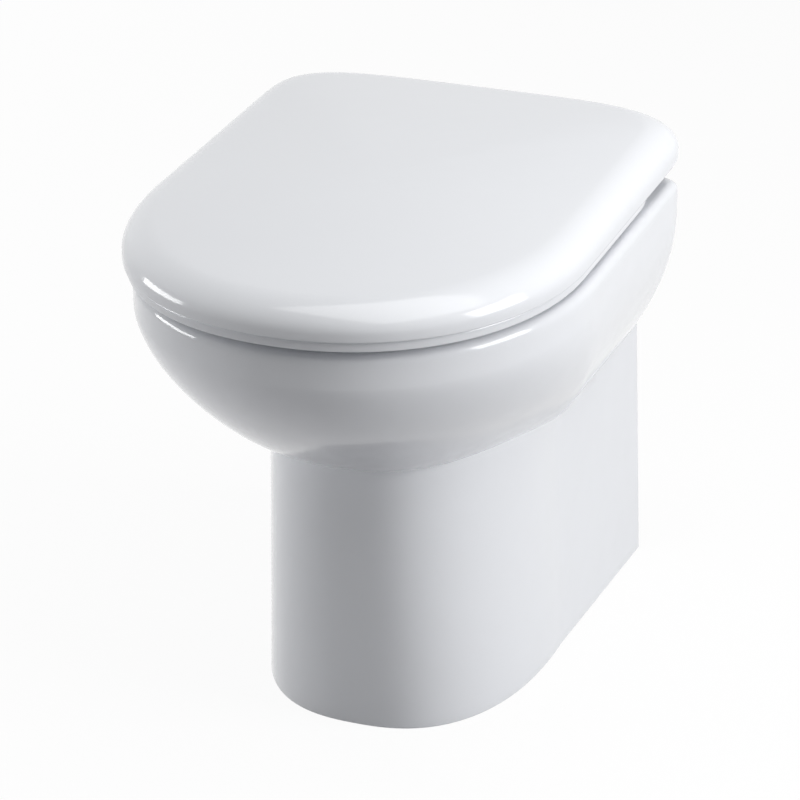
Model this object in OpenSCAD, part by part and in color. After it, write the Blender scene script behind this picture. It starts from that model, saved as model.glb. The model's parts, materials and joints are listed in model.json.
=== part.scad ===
// Back to wall toilet: a vitreous china pan with a wrap-over seat and cover.
// X runs across the pan, +Y points to the wall, +Z is up, all in millimetres.
// The origin is on the floor, midway between the wall and the front of the cover.
// Most places are given as a distance from the wall, which grows to the front.

/* [Pan] */
// Height of the rim above the floor
rim_height = 400; // [390:1:420]
// Width of the pan at its widest
pan_width = 364; // [352:1:372]
// Distance of the front of the rim from the wall
pan_front = 540; // [532:1:544]
// Distance of the widest line of the rim from the wall
pan_widest = 326; // [300:1:345]
// Fullness of the front curve, where 2 is an ellipse
pan_fullness = 2.06; // [2:0.02:2.4]
// Height at which the underside reaches the full width
full_width_height = 374; // [366:1:380]
// Rounding of the outer edge of the rim
rim_edge = 8; // [4:0.5:10]
// Distance from the wall at which the bowl steps in to the narrower back
shoulder = 98; // [92:1:106]
// Depth of the rounded corner of that step
shoulder_round = 12; // [10:0.5:14]
// Width of the back at the rim
back_width = 230; // [226:1:240]
// Wall of the hollow casting
china_wall = 12; // [10:0.5:13]
// Thickness of the deck over the service space
deck_thickness = 14; // [12:0.5:16]

/* [Pedestal] */
// Width of the foot at the wall
foot_width_back = 256; // [248:1:264]
// Width of the foot where its front curve starts
foot_width_front = 236; // [230:1:244]
// Distance of the front of the foot from the wall
foot_front = 380; // [372:1:390]
// Distance from the wall at which the front curve of the pedestal starts
foot_curve = 190; // [170:1:205]
// Fullness of the front curve of the pedestal
foot_fullness = 2.5; // [2.2:0.05:2.8]
// Width of the pedestal at the crease, by the wall
crease_width_back = 240; // [236:1:250]
// Width of the pedestal at the crease, where its front curve starts
crease_width_front = 214; // [210:1:226]
// Distance of the front of the crease from the wall
crease_front = 400; // [390:1:404]
// Height of the crease along the sides
crease_side_height = 211; // [205:1:218]
// Height of the crease at the front
crease_front_height = 242; // [236:1:246]
// Bevel of the lower edge of the foot
foot_edge = 2; // [1:0.5:3]

/* [Bowl] */
// Width of the opening in the rim
opening_width = 236; // [224:1:242]
// Distance of the front of the opening from the wall
opening_front = 486; // [478:1:490]
// Distance of the back of the opening from the wall
opening_back = 196; // [190:1:206]
// Thickness of the lip that hangs inside the rim
lip_thickness = 8; // [6:0.5:9]
// Height of that lip, from the top of the rim
lip_height = 48; // [40:1:52]
// Width of the open flush channel behind the lip
channel_width = 14; // [10:0.5:15]
// Thickness of the china over the flush channel
channel_roof = 12; // [9:0.5:14]
// How far below the lip the bowl starts
channel_drop = 6; // [4:0.5:8]
// Height of the floor of the bowl, where the sump starts
bowl_floor = 236; // [234:1:244]
// Radius of the sump
sump_radius = 46; // [42:0.5:48]
// Height of the bottom of the sump
sump_bottom = 90; // [86:1:94]
// Distance of the sump from the wall
sump_centre = 286; // [280:1:292]

/* [Trap and pipes] */
// Radius of the trapway
trap_radius = 36; // [33:0.5:37]
// Wall of the trapway
trap_wall = 9; // [7:0.5:10]
// Height of the centre of the trapway at its weir
weir_height = 249; // [246:1:252]
// Outside radius of the outlet spigot
outlet_radius = 51; // [50:0.5:55]
// Wall of the outlet spigot
outlet_wall = 6; // [5:0.5:8]
// Height of the outlet above the floor
outlet_height = 185; // [182:1:190]
// Length of the straight outlet spigot
outlet_length = 45; // [40:1:46]
// Distance from the wall to the end of the outlet spigot
outlet_setback = 15; // [12:1:16]
// How far the body behind the spigot stands out over it
outlet_collar = 3; // [2:0.5:4]
// Radius of the flush inlet socket
inlet_radius = 28.5; // [27:0.25:29]
// Depth of the flush inlet socket
inlet_depth = 50; // [40:1:56]
// Height of the flush inlet above the floor
inlet_height = 340; // [336:1:342]
// Distance from the wall to the mouth of the flush inlet
inlet_setback = 24; // [18:1:30]
// Wall of the flush inlet socket
inlet_wall = 9; // [7:0.5:9]
// Radius of the passage from the flush inlet to the flush channel
passage_radius = 18; // [14:0.5:20]

/* [Floor fixing] */
// Distance between the two floor fixing holes
fixing_spacing = 160; // [154:1:164]
// Distance of the floor fixing holes from the wall
fixing_distance = 42; // [38:1:46]
// Radius of the floor fixing holes
fixing_hole_radius = 5; // [4:0.5:6]
// Thickness of the two lugs on the floor
fixing_lug_height = 16; // [12:1:18]
// China around each floor fixing hole
fixing_lug_margin = 9; // [8:0.5:10]

/* [Seat and cover] */
// Width of the cover
cover_width = 362; // [358:1:366]
// Distance of the front of the cover from the wall
cover_front = 550; // [548:1:556]
// Distance of the back of the cover from the wall
cover_back = 56; // [54:0.5:58]
// Distance from the wall at which the front curve of the cover starts
cover_widest = 345; // [330:1:360]
// Fullness of the front curve of the cover
cover_fullness = 2.14; // [2.06:0.02:2.3]
// Depth of the back corners of the cover and seat
corner_depth = 93; // [85:1:100]
// Squareness of those corners, where 2 is an ellipse
corner_squareness = 4.6; // [4:0.1:5.5]
// Rise of the top of the cover from its front to its back
cover_rise = 6.5; // [4:0.5:8]
// Thickness of the shell of the cover
cover_wall = 5; // [4:0.5:5.5]
// Height of the underside of the seat above the rim
seat_lift = 7; // [6:0.5:8]
// Height of the outer band of the seat, below the cover
seat_band = 8; // [7:0.5:9]
// Thickness of the seat ring
seat_thickness = 17; // [15:0.5:18]
// How far the seat band lies inside the outline of the cover
seat_inset = 3; // [1:0.5:4]
// Distance of the back of the seat ring from the wall
seat_back = 136; // [132:1:142]
// Width of the hole in the seat
hole_width = 216; // [204:1:222]
// Distance of the front of the hole from the wall
hole_front = 488; // [480:1:492]
// Distance of the back of the hole from the wall
hole_back = 190; // [186:1:196]
// Distance of the widest line of the hole from the wall
hole_widest = 330; // [320:1:340]
// Depth of the hollow underside of the seat
under_depth = 4; // [3:0.5:5]
// Height of the rolled edge of the cover
roll_height = 18; // [17:0.5:20]
// Width of the rolled edge of the cover
roll_width = 26; // [22:0.5:28]
// Rise of the crowned top of the cover
crown = 9; // [7:0.5:10]
// Distance of the top of the crown from the wall
cover_centre = 315; // [300:1:330]

/* [Hinges] */
// Distance between the two hinges
hinge_spacing = 155; // [150:1:160]
// Distance of the hinge axis from the wall
hinge_distance = 72; // [71:0.5:73]
// How far the foot of a hinge stands in front of the axis
hinge_foot_offset = 22; // [21:0.5:24]
// Height of the hinge axis above the rim
hinge_rise = 30; // [29.5:0.5:30.5]
// Radius of the hinge pins
pin_radius = 3; // [2.5:0.25:3.5]
// Radial running clearance of the knuckles on their pins
running_clearance = 0.05; // [0.03:0.01:0.09]
// Radius of the hinge knuckles
knuckle_radius = 6.5; // [5.5:0.25:6.5]
// Width of the upright of a hinge post
post_width = 22; // [18:1:24]
// Length of each hinge knuckle
knuckle_length = 17; // [14:1:19]
// Radius of the foot of a hinge post
post_foot_radius = 20; // [17:0.5:21]
// Thickness of the foot of a hinge post
post_foot_height = 4; // [3:0.5:5]
// Radius of the threaded studs
stud_radius = 3; // [2.5:0.25:3.5]
// Radius of the holes for the studs through the china
seat_hole_radius = 7; // [6.5:0.25:8]
// Side gap between parts that turn against each other
side_gap = 0.5; // [0.3:0.1:1]
// Thickness of the plates of the hinge arms
arm_plate = 3.6; // [3:0.1:4]
// Distance between the two screws of an arm
arm_screw_spacing = 22; // [20:1:24]
// Radius of the arm screws
screw_radius = 2; // [1.5:0.1:2.2]
// Radius of the heads of the arm screws
screw_head_radius = 3.8; // [3.4:0.1:4.2]
// Height of the heads of the arm screws
screw_head_height = 2; // [1.5:0.1:2.5]

/* [Buffers and seat fixings] */
// Radius of the rubber buffers
buffer_radius = 7; // [6:0.5:8]
// Radius of the stems of the seat buffers
buffer_stem_radius = 2.5; // [2:0.25:3]
// Length of those stems
buffer_stem_length = 5; // [4:0.5:6]
// Angle of the front seat buffers round from the front centre
seat_buffer_angle = 38; // [32:1:44]
// Distance of the rear seat buffers from the wall
seat_buffer_back = 215; // [205:1:222]
// Angle of the front cover buffers round from the front centre
cover_buffer_angle = 52; // [50:1:60]
// Distance of the rear cover buffers from the wall
cover_buffer_back = 240; // [236:1:250]
// Height of the cover buffers above the seat
cover_buffer_height = 9; // [8.5:0.25:10]
// Thickness of the gaskets under the hinge feet
gasket_height = 1.5; // [1:0.25:2]
// Thickness of the flange of the cone bushes
bush_flange = 5; // [4:0.5:6]
// Thickness of the clamp washers
washer_height = 1.6; // [1:0.2:2.4]
// Height of the hub of the wing nuts
nut_height = 6; // [5:0.5:8]
// Radius of the hub of the wing nuts
nut_radius = 7; // [6:0.5:8]
// Reach of each wing from the hub's axis
wing_reach = 19; // [16:1:20]
// Thickness of the wings
wing_thickness = 3; // [2.5:0.5:4]
// How far the studs run below the deck
stud_tail = 34; // [28:1:40]

/* [Hidden] */
$fn = 48;

wall_y = cover_front / 2;
cut = 1; // how far a cutting tool runs past a face

// Heights of the pan
deck_under = rim_height - deck_thickness;
lip_z = rim_height - lip_height;
roof_z = rim_height - channel_roof;
bowl_top = lip_z - channel_drop;

// Heights of the seat and cover, from the rim up
seat_z = rim_height + seat_lift;
skirt_z = seat_z + seat_band + 0.3;
seat_top = seat_z + seat_thickness;
roll_start = skirt_z + 5.7;
cover_top = roll_start + roll_height;
ceiling_z = cover_top - cover_wall;

// Hinge axis and the stations along it
hinge_x = hinge_spacing / 2;
hinge_z = rim_height + hinge_rise;
foot_distance = hinge_distance + hinge_foot_offset;
knuckle_start = post_width / 2 + side_gap;
knuckle_end = knuckle_start + knuckle_length;
cover_arm_x = hinge_x + knuckle_start + knuckle_length / 2;
seat_arm_x = hinge_x - knuckle_start - knuckle_length / 2;
cover_screw_d = hinge_distance + 22;
seat_screw_d = seat_back + 8;

// Heights of the posts, the studs and the cover buffers
post_z = rim_height + gasket_height;
stud_top = post_z + 8;
stud_end = deck_under - stud_tail;
buffer_seat_z = seat_top + cover_buffer_height;

// Middle of the seat ring, from the centre line
ring_x = (cover_width + hole_width) / 4;

// Points in each half of an outline, and their steps
FRONT_STEPS = 18;
SIDE_STEPS = 3;
ARC_STEPS = 3;
EGG_STEPS = 24;
COVER_FRONT_STEPS = 12;
COVER_SIDE_STEPS = 3;
COVER_CORNER_STEPS = EGG_STEPS - COVER_FRONT_STEPS - COVER_SIDE_STEPS;
TRAP_SIDES = 20;

// ---------------------------------------------------------------- helpers

// Y of a place at distance d from the wall
function from_wall(d) = wall_y - d;

function mix(a, b, t) = a + (b - a) * t;

// Powers of sine and cosine that draw a superellipse of fullness n
function sin_n(a, n) = pow(max(sin(a), 0), 2 / n);
function cos_n(a, n) = pow(max(cos(a), 0), 2 / n);

// One closed outline from its right half, which runs from the front centre to the back centre
function both_sides(half) = concat(
  half,
  [for (i = [len(half) - 2:-1:1]) [-half[i][0], half[i][1], half[i][2]]]
);

// Right half of an egg: two half superellipses that meet at the widest line
function egg_half(w, widest, front, back, n_front, n_back) = concat(
  [for (i = [0:EGG_STEPS / 2]) let (a = 90 * i / (EGG_STEPS / 2))
    [w * sin_n(a, n_front), mix(widest, front, cos_n(a, n_front))]],
  [for (i = [1:EGG_STEPS / 2]) let (a = 90 - 90 * i / (EGG_STEPS / 2))
    [w * sin_n(a, n_back), mix(widest, back, cos_n(a, n_back))]]
);

// The same egg as a level ring of points at height z
function egg_ring(w, widest, front, back, n_front, n_back, z) = both_sides(
  [for (p = egg_half(w, widest, front, back, n_front, n_back)) [p[0], from_wall(p[1]), z]]
);

// Triangles between two rings of n points that start at indices a and b
function band(a, b, n) = [
  for (i = [0:n - 1]) let (j = (i + 1) % n)
    each [[a + i, a + j, b + j], [a + i, b + j, b + i]]
];

// Triangles over a closed mirrored ring, laid as a strip between its two halves
function strip_cap(a, n, up) = [
  for (i = [0:n / 2 - 1]) let (
    r0 = a + i,
    r1 = a + i + 1,
    l0 = a + (n - i) % n,
    l1 = a + n - i - 1,
    first = i == 0 ? [] : [[r0, r1, l0]],
    second = i == n / 2 - 1 ? [] : [[r1, l1, l0]]
  ) each [for (t = concat(first, second)) up ? t : [t[0], t[2], t[1]]]
];

// Triangles from a ring at index a to the single point at index p
function fan_cap(a, n, p, up) = [
  for (i = [0:n - 1]) let (j = (i + 1) % n) up ? [a + i, a + j, p] : [a + j, a + i, p]
];

// Solid skinned over rings, closed at both ends by a strip
module skin(rings) {
  n = len(rings[0]);
  last = (len(rings) - 1) * n;
  polyhedron(
    points = [for (r = rings) each r],
    faces = [
      for (f = concat(
        strip_cap(0, n, false),
        [for (k = [0:len(rings) - 2]) each band(k * n, (k + 1) * n, n)],
        strip_cap(last, n, true)
      )) [f[0], f[2], f[1]]
    ],
    convexity = 10
  );
}

// Cylinder along the wall direction, from distance d0 to distance d1
module along_y(r, d0, d1, x, z) {
  translate([x, from_wall(d1), z])
    rotate([-90, 0, 0])
      cylinder(r = r, h = d1 - d0);
}

// Cylinder across the pan, from x0 to x1
module along_x(r, x0, x1, d, z) {
  translate([x0, from_wall(d), z])
    rotate([0, 90, 0])
      cylinder(r = r, h = x1 - x0);
}

// Side profile of (distance, height) points, extruded from x0 to x1
module side_profile(points, x0, x1) {
  translate([x0, 0, 0])
    rotate([90, 0, 90])
      linear_extrude(height = x1 - x0)
        polygon([for (p = points) [from_wall(p[0]), p[1]]]);
}

// ---------------------------------------------------------------- pan

// Right half of one level of the pan as (half width, distance from the wall). w is the half width
// at the widest line and ws at the shoulder; bs and bw are those of the back, at the shoulder and
// at its end. The side is drawn in at the shoulder by a rounded corner and a cove.
function pan_half(w, ws, widest, front, n, bs, bw, step, end = 0) = let (
  start = step + shoulder_round,
  reach = 2.5 * shoulder_round,
  back = function(d) mix(bw, bs, d / start),
  over = ws - bs,
  corner = [
    for (i = [1:ARC_STEPS]) let (a = 90 * i / ARC_STEPS) [1 - 0.2 * (1 - cos(a)), 0.4 * sin(a)]
  ],
  cove = [
    for (i = [0:ARC_STEPS]) let (a = 90 * i / ARC_STEPS)
      [0.3 * (1 - sin(a)), 0.4 + 0.6 * (1 - cos(a))]
  ],
  slope = 0.03 // keeps the points of a level with no step apart
) concat(
  [for (i = [0:FRONT_STEPS]) let (a = 90 * i / FRONT_STEPS)
    [w * sin_n(a, n), mix(widest, front, cos_n(a, n))]],
  [for (i = [1:SIDE_STEPS]) let (t = i / SIDE_STEPS) [mix(w, ws, t), mix(widest, start, t)]],
  [for (q = concat(corner, cove)) let (d = start - reach * (q[1] + slope * (1 - q[0])))
    [back(d) + over * q[0], d]],
  [[bw, end], [0, end]]
);

// Position of point i between the side (0) and the front (1) of the pan, for heights that differ
function frontness(i) = i < FRONT_STEPS
  ? (1 - cos(180 * sqrt(cos(90 * i / FRONT_STEPS)))) / 2
  : 0;

// One level of the pedestal, at t = 0 on the floor and t = 1 at the crease, drawn in by inset
function pedestal_ring(t, inset = 0, end = 0) = let (
  w = mix(foot_width_front, crease_width_front, t) / 2 - inset,
  bw = mix(foot_width_back, crease_width_back, t) / 2 - inset,
  ws = mix(bw, w, (shoulder + shoulder_round) / foot_curve),
  half = pan_half(
    w, ws, foot_curve, mix(foot_front, crease_front, t) - inset, foot_fullness, ws, bw,
    shoulder + inset, end
  )
) both_sides([
  for (i = [0:len(half) - 1])
    [
      half[i][0], from_wall(half[i][1]),
      t * mix(crease_side_height, crease_front_height, frontness(i))
    ]
]);

// One level of the bowl, at a = 0 on the crease and a = 90 at its full width, drawn in by inset
function flare_ring(a, inset = 0, end = 0) = let (
  side = pow(sin(a), 2.2),
  fore = pow(sin(a), 1.7),
  side_rise = 1 - cos(a),
  fore_rise = 1 - pow(max(cos(a), 0), 1.3),
  waist = mix(
    crease_width_back, crease_width_front, (shoulder + shoulder_round) / foot_curve
  ) / 2,
  half = pan_half(
    mix(crease_width_front, pan_width, side) / 2 - inset,
    mix(waist, pan_width / 2, side) - inset,
    mix(foot_curve, pan_widest, fore),
    mix(crease_front, pan_front, fore) - inset,
    mix(foot_fullness, pan_fullness, fore),
    mix(waist, back_width / 2, side_rise) - inset,
    mix(crease_width_back, back_width, side_rise) / 2 - inset,
    shoulder + inset, end
  )
) both_sides([
  for (i = [0:len(half) - 1]) [
    half[i][0],
    from_wall(half[i][1]),
    mix(
      mix(crease_side_height, full_width_height, side_rise),
      mix(crease_front_height, full_width_height, fore_rise),
      frontness(i)
    )
  ]
]);

// One level of the rim, drawn in by inset
function rim_ring(z, inset) = let (
  half = pan_half(
    pan_width / 2 - inset, pan_width / 2 - inset, pan_widest, pan_front - inset, pan_fullness,
    back_width / 2 - inset, back_width / 2 - inset, shoulder + inset
  )
) both_sides([for (p = half) [p[0], from_wall(p[1]), z]]);

// One level of the inside of the bowl, with as many points as the outside has. The back of the
// egg is a little fuller than its front.
function bowl_ring(w, front, back, n, z) = let (
  count = FRONT_STEPS + SIDE_STEPS + 2 * ARC_STEPS + 3,
  widest = mix(back, front, 0.48),
  n_back = n + 0.3
) both_sides([
  for (i = [0:count]) let (a = 180 * i / count)
    a <= 90
      ? [w * sin_n(a, n), from_wall(mix(widest, front, cos_n(a, n))), z]
      : [w * sin_n(180 - a, n_back), from_wall(mix(widest, back, cos_n(180 - a, n_back))), z]
]);

// The opening in the rim drawn outwards by grow
function opening_ring(grow, z) =
  bowl_ring(opening_width / 2 + grow, opening_front + grow, opening_back - grow, 2.2, z);

// One level of the bowl, at a = 0 on its floor and a = 90 at the flush channel, moved outwards
// and down by wall
function bowl_level(a, wall = 0) = let (
  s = pow(sin(a), 1.7),
  rise = 1 - pow(max(cos(a), 0), 1.3),
  grow = lip_thickness + channel_width
) bowl_ring(
  mix(sump_radius, opening_width / 2 + grow, s) + wall,
  mix(sump_centre + sump_radius, opening_front + grow, s) + wall,
  mix(sump_centre - sump_radius, opening_back - grow, s) - wall,
  mix(2, 2.2, s),
  mix(bowl_floor, bowl_top, rise) - wall
);

// One level of the rounded bottom of the sump, at a = 0 on its side and a = 90 underneath
function sump_ring(a) = let (r = sump_radius * (0.75 + 0.25 * cos(a)))
  bowl_ring(r, sump_centre + r, sump_centre - r, 2, sump_bottom + (trap_radius + 4) * (1 - sin(a)));

// Outside and inside of the pan as one skin, from the foot up, over the rim and down the bowl
module pan_body() {
  grow = lip_thickness + channel_width;
  skin(concat(
    [pedestal_ring(0, foot_edge)],
    [[for (p = pedestal_ring(0)) [p[0], p[1], foot_edge]]],
    [for (k = [1:3]) pedestal_ring(k / 3)],
    [for (a = [9:9:90]) flare_ring(a)],
    [for (a = [0:30:90])
      rim_ring(rim_height - rim_edge * (1 - sin(a)), rim_edge * (1 - cos(a)))],
    // over the rim, down the lip, up behind it and down into the bowl
    [opening_ring(3, rim_height), opening_ring(0.9, rim_height - 0.9)],
    [opening_ring(0, rim_height - 3), opening_ring(0, lip_z), opening_ring(lip_thickness, lip_z)],
    [opening_ring(lip_thickness, roof_z), opening_ring(grow, roof_z), opening_ring(grow, bowl_top)],
    [for (a = [78:-13:0]) bowl_level(a)],
    [for (a = [0:45:90]) sump_ring(a)]
  ));
}

// Centre line of the trapway as (distance from the wall, height, direction in degrees): along the
// bottom of the sump, up behind it, over the weir and down into the outlet
function trap_path() = let (
  bend = trap_radius + trap_wall + 1,
  up_leg = sump_centre - sump_radius - trap_wall - trap_radius,
  low = sump_bottom + trap_radius + 1,
  last = 165,
  tip = [up_leg - bend + bend * cos(last), weir_height - bend + bend * sin(last)],
  drop = tip[1] - outlet_height
) concat(
  [[sump_centre, low, 180]],
  [for (a = [0:18:90]) [up_leg + bend - bend * sin(a), low + bend - bend * cos(a), 180 - a]],
  [for (a = [0:15:last])
    [up_leg - bend + bend * cos(a), weir_height - bend + bend * sin(a), 90 + a]],
  [[tip[0] - drop * tan(180 - last), outlet_height, 90 + last]]
);

// Distances from the wall of the end of the spigot and of the end of the chamber behind it
spigot_end = outlet_setback + outlet_length;
chamber_end = trap_path()[len(trap_path()) - 1][0] + trap_radius + 2;

// Pipe of radius r along the trapway
module trap_pipe(r) {
  skin([
    for (p = trap_path()) [
      for (i = [0:TRAP_SIDES - 1]) let (b = 360 * i / TRAP_SIDES)
        [
          r * sin(b),
          from_wall(p[0] + r * cos(b) * sin(p[2])),
          p[1] - r * cos(b) * cos(p[2])
        ]
    ]
  ]);
}

// Inside of the outer skin, open at the wall and on the floor
module inside_space() {
  skin(concat(
    [[for (p = pedestal_ring(0, china_wall, -cut)) [p[0], p[1], -cut]]],
    [for (a = [0:10:90]) [
      for (p = flare_ring(a, china_wall, -cut)) [p[0], p[1], min(p[2] + china_wall, deck_under)]
    ]]
  ));
}

// Bowl and flush channel with their wall, as a solid block
module bowl_block() {
  skin(concat(
    [for (a = [0:15:90]) bowl_level(a, china_wall)],
    [opening_ring(lip_thickness + channel_width + china_wall, rim_height + cut)]
  ));
}

// Lug on the floor around a fixing hole, run into the side wall
module fixing_lug(side) {
  reach = fixing_hole_radius + fixing_lug_margin;
  x0 = fixing_spacing / 2 - reach;
  x1 = foot_width_back / 2;
  translate([side > 0 ? x0 : -x1, from_wall(fixing_distance + reach), 0])
    cube([x1 - x0, 2 * reach, fixing_lug_height]);
}

// The casting: its hollow goes round the bowl, the sump, the trapway, the pipes and the lugs
module casting() {
  difference() {
    pan_body();
    difference() {
      inside_space();
      bowl_block();
      translate([0, from_wall(sump_centre), sump_bottom - trap_wall])
        cylinder(r = sump_radius + trap_wall, h = bowl_floor - sump_bottom + trap_wall);
      trap_pipe(trap_radius + trap_wall);
      along_y(
        outlet_radius + outlet_collar, spigot_end, chamber_end + outlet_wall, 0, outlet_height
      );
      along_y(inlet_radius + inlet_wall, inlet_setback, opening_back, 0, inlet_height);
      for (side = [-1, 1]) fixing_lug(side);
    }
    trap_pipe(trap_radius);
    along_y(outlet_radius - outlet_wall, spigot_end - cut, chamber_end, 0, outlet_height);
  }
}

module pan() {
  color("white")
    difference() {
      union() {
        // the casting at its exact outer size
        resize([pan_width, pan_front, rim_height])
          casting();
        along_y(outlet_radius, outlet_setback, spigot_end + cut, 0, outlet_height);
      }
      along_y(
        outlet_radius - outlet_wall, outlet_setback - cut, spigot_end + 2 * cut, 0, outlet_height
      );
      along_y(inlet_radius, inlet_setback - cut, inlet_setback + inlet_depth, 0, inlet_height);
      along_y(
        passage_radius, inlet_setback, opening_back - lip_thickness - cut, 0, inlet_height
      );
      for (side = [-1, 1]) {
        translate([side * hinge_x, from_wall(foot_distance), deck_under - cut])
          cylinder(r = seat_hole_radius, h = deck_thickness + 2 * cut);
        translate([side * fixing_spacing / 2, from_wall(fixing_distance), -cut])
          cylinder(r = fixing_hole_radius, h = fixing_lug_height + 2 * cut);
      }
    }
}

// ---------------------------------------------------------------- seat and cover

// Outline of the cover or the seat, drawn in by inset, with its back at distance back from the
// wall: a half superellipse, a straight side and a rounded corner
function cover_outline(inset, back) = let (
  w = cover_width / 2 - inset,
  front = cover_front - inset,
  corner = back + corner_depth
) both_sides(concat(
  [for (i = [0:COVER_FRONT_STEPS]) let (a = 90 * i / COVER_FRONT_STEPS) [
    w * sin_n(a, cover_fullness),
    from_wall(mix(cover_widest, front, cos_n(a, cover_fullness))),
    0
  ]],
  [for (i = [1:COVER_SIDE_STEPS])
    [w, from_wall(mix(cover_widest, corner, i / COVER_SIDE_STEPS)), 0]],
  [for (i = [1:COVER_CORNER_STEPS]) let (a = 90 - 90 * i / COVER_CORNER_STEPS) [
    w * sin_n(a, corner_squareness),
    from_wall(mix(corner, back, cos_n(a, corner_squareness))),
    0
  ]]
));

// How much higher the top of the cover is at distance d from the wall than at its front
function rise_at(d) = cover_rise * (cover_front - d) / (cover_front - cover_back);

// Point of the cover, raised towards the back in proportion to its height over the lower edge
function raised(p) = [
  p[0], p[1],
  p[2] + rise_at(wall_y - p[1]) * (p[2] - skirt_z) / (cover_top - skirt_z)
];

// One level of the cover, drawn in by inset
function cover_ring(inset, z) = [
  for (p = cover_outline(inset, cover_back + inset)) raised([p[0], p[1], z])
];

// Outer and inner outlines of the seat ring, level
function seat_outer() = cover_outline(seat_inset, seat_back);
function seat_hole() = egg_ring(
  hole_width / 2, hole_widest, hole_front, hole_back, 2.1, 2.5, 0
);

// Ring of the seat's section: s runs in from the outer outline, or out from the hole if negative
function seat_section_ring(s, z) = let (o = seat_outer(), h = seat_hole()) [
  for (i = [0:len(o) - 1]) let (
    gap = norm(h[i] - o[i]),
    t = s < 0 ? (gap + s) / gap : s / gap,
    p = o[i] + (h[i] - o[i]) * t
  ) [p[0], p[1], z]
];

module seat_ring() {
  band_top = seat_z + seat_band;
  under = seat_z + under_depth;
  n = 2 * EGG_STEPS;
  // section as (run in from the edge, height), once round
  section = [
    [1.2, seat_z], [0, seat_z + 1.2], [0, band_top - 0.8], [0.8, band_top],
    [8, band_top + 0.2], [9, band_top + 3], [12, seat_top - 2], [17, seat_top],
    [-20, seat_top], [-9, seat_top - 1.6], [-3, seat_top - 5], [-0.1, seat_z + 7],
    [-0.6, seat_z + 1.6], [-2.4, seat_z], [-9, seat_z], [-11, under], [12, under], [10, seat_z]
  ];
  color("white")
    difference() {
      union() {
        polyhedron(
          points = [for (q = section) each seat_section_ring(q[0], q[1])],
          faces = [
            for (k = [0:len(section) - 1])
              for (f = band(k * n, ((k + 1) % len(section)) * n, n)) [f[0], f[2], f[1]]
          ],
          convexity = 10
        );
        // pads in the hollow underside, for the hinge arms and the buffers
        for (side = [-1, 1])
          translate([
            side * seat_arm_x - knuckle_length / 2, from_wall(hole_back - 8), seat_z
          ])
            cube([knuckle_length, hole_back - seat_back - 14, under_depth + 1]);
        for (p = concat(pair(seat_buffer_front()), pair(seat_buffer_rear())))
          translate([p[0], from_wall(p[1]), seat_z])
            cylinder(r = buffer_radius + 2, h = under_depth + 1);
      }
      for (side = [-1, 1]) arm_screw_holes(side, seat_arm_x, seat_screw_d, seat_z, 8);
      for (p = concat(pair(seat_buffer_front()), pair(seat_buffer_rear())))
        translate([p[0], from_wall(p[1]), seat_z - cut])
          cylinder(r = buffer_stem_radius, h = buffer_stem_length + cut);
    }
}

// Ring of the crowned top or of the ceiling under it: s is 1 at the rolled edge, 0 at the centre
function crown_ring(base, s, z) = [
  for (p = base) raised([
    p[0] * s,
    mix(from_wall(cover_centre), p[1], s),
    z + crown * (1 - s * s)
  ])
];

module cover() {
  n = 2 * EGG_STEPS;
  edge = cover_outline(roll_width, cover_back + roll_width);
  inner_edge = cover_outline(roll_width + 2, cover_back + roll_width + 2);
  lean = 2 * crown / (cover_width / 2 - roll_width);
  top = concat(
    [cover_ring(0.6, skirt_z), cover_ring(0, skirt_z + 1)],
    [for (a = [0:15:90]) let (inset = roll_width * (1 - cos(a)))
      cover_ring(inset, roll_start + roll_height * sin(a) + lean * inset)],
    [for (s = [0.85, 0.6, 0.3]) crown_ring(edge, s, cover_top + lean * roll_width)]
  );
  bottom = concat(
    [for (s = [0.35, 0.7]) crown_ring(inner_edge, s, ceiling_z + lean * roll_width)],
    [for (a = [90:-22.5:0]) let (
      inset = cover_wall + (roll_width + 2 - cover_wall) * (1 - cos(a)),
      z = mix(roll_start - 2, ceiling_z, sin(a)) + lean * (inset - cover_wall)
    ) cover_ring(inset, z)],
    [cover_ring(cover_wall, skirt_z)]
  );
  rings = concat(bottom, top);
  points = concat(
    [for (r = rings) each r],
    [
      raised([0, from_wall(cover_centre), ceiling_z + lean * roll_width + crown]),
      raised([0, from_wall(cover_centre), cover_top + lean * roll_width + crown])
    ]
  );
  count = len(rings);
  color("white")
    difference() {
      union() {
        polyhedron(
          points = points,
          faces = [
            for (f = concat(
              fan_cap(0, n, count * n, false),
              [for (k = [0:count - 2]) each band(k * n, (k + 1) * n, n)],
              fan_cap((count - 1) * n, n, count * n + 1, true)
            )) [f[0], f[2], f[1]]
          ],
          convexity = 10
        );
        for (side = [-1, 1]) arm_pad(side);
        for (p = cover_buffer_places())
          translate([p[0], from_wall(p[1]), buffer_seat_z])
            cylinder(r = buffer_radius + 1.5, h = cover_top + rise_at(p[1]) - buffer_seat_z);
      }
      for (side = [-1, 1]) hinge_notch(side);
      for (side = [-1, 1]) arm_screw_holes(side, cover_arm_x, cover_screw_d, hinge_z, 8);
    }
}

// Notch in the back of the cover, in which it turns over a hinge post, with a slot through the
// back edge that lets the upright pass when the cover is thrown right over
module hinge_notch(side) {
  half_width = knuckle_end + 4;
  slot_half = post_width / 2 + 2;
  front = hinge_distance + knuckle_radius + 12;
  slot_front = hinge_distance - 2;
  translate([side * hinge_x - half_width, from_wall(front), skirt_z - cut])
    cube([
      2 * half_width, front - cover_back + cut,
      hinge_z + knuckle_radius + side_gap - skirt_z + cut
    ]);
  translate([side * hinge_x - slot_half, from_wall(slot_front), hinge_z])
    cube([2 * slot_half, slot_front - cover_back + cut, cover_top + 2 * cover_rise - hinge_z]);
}

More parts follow.
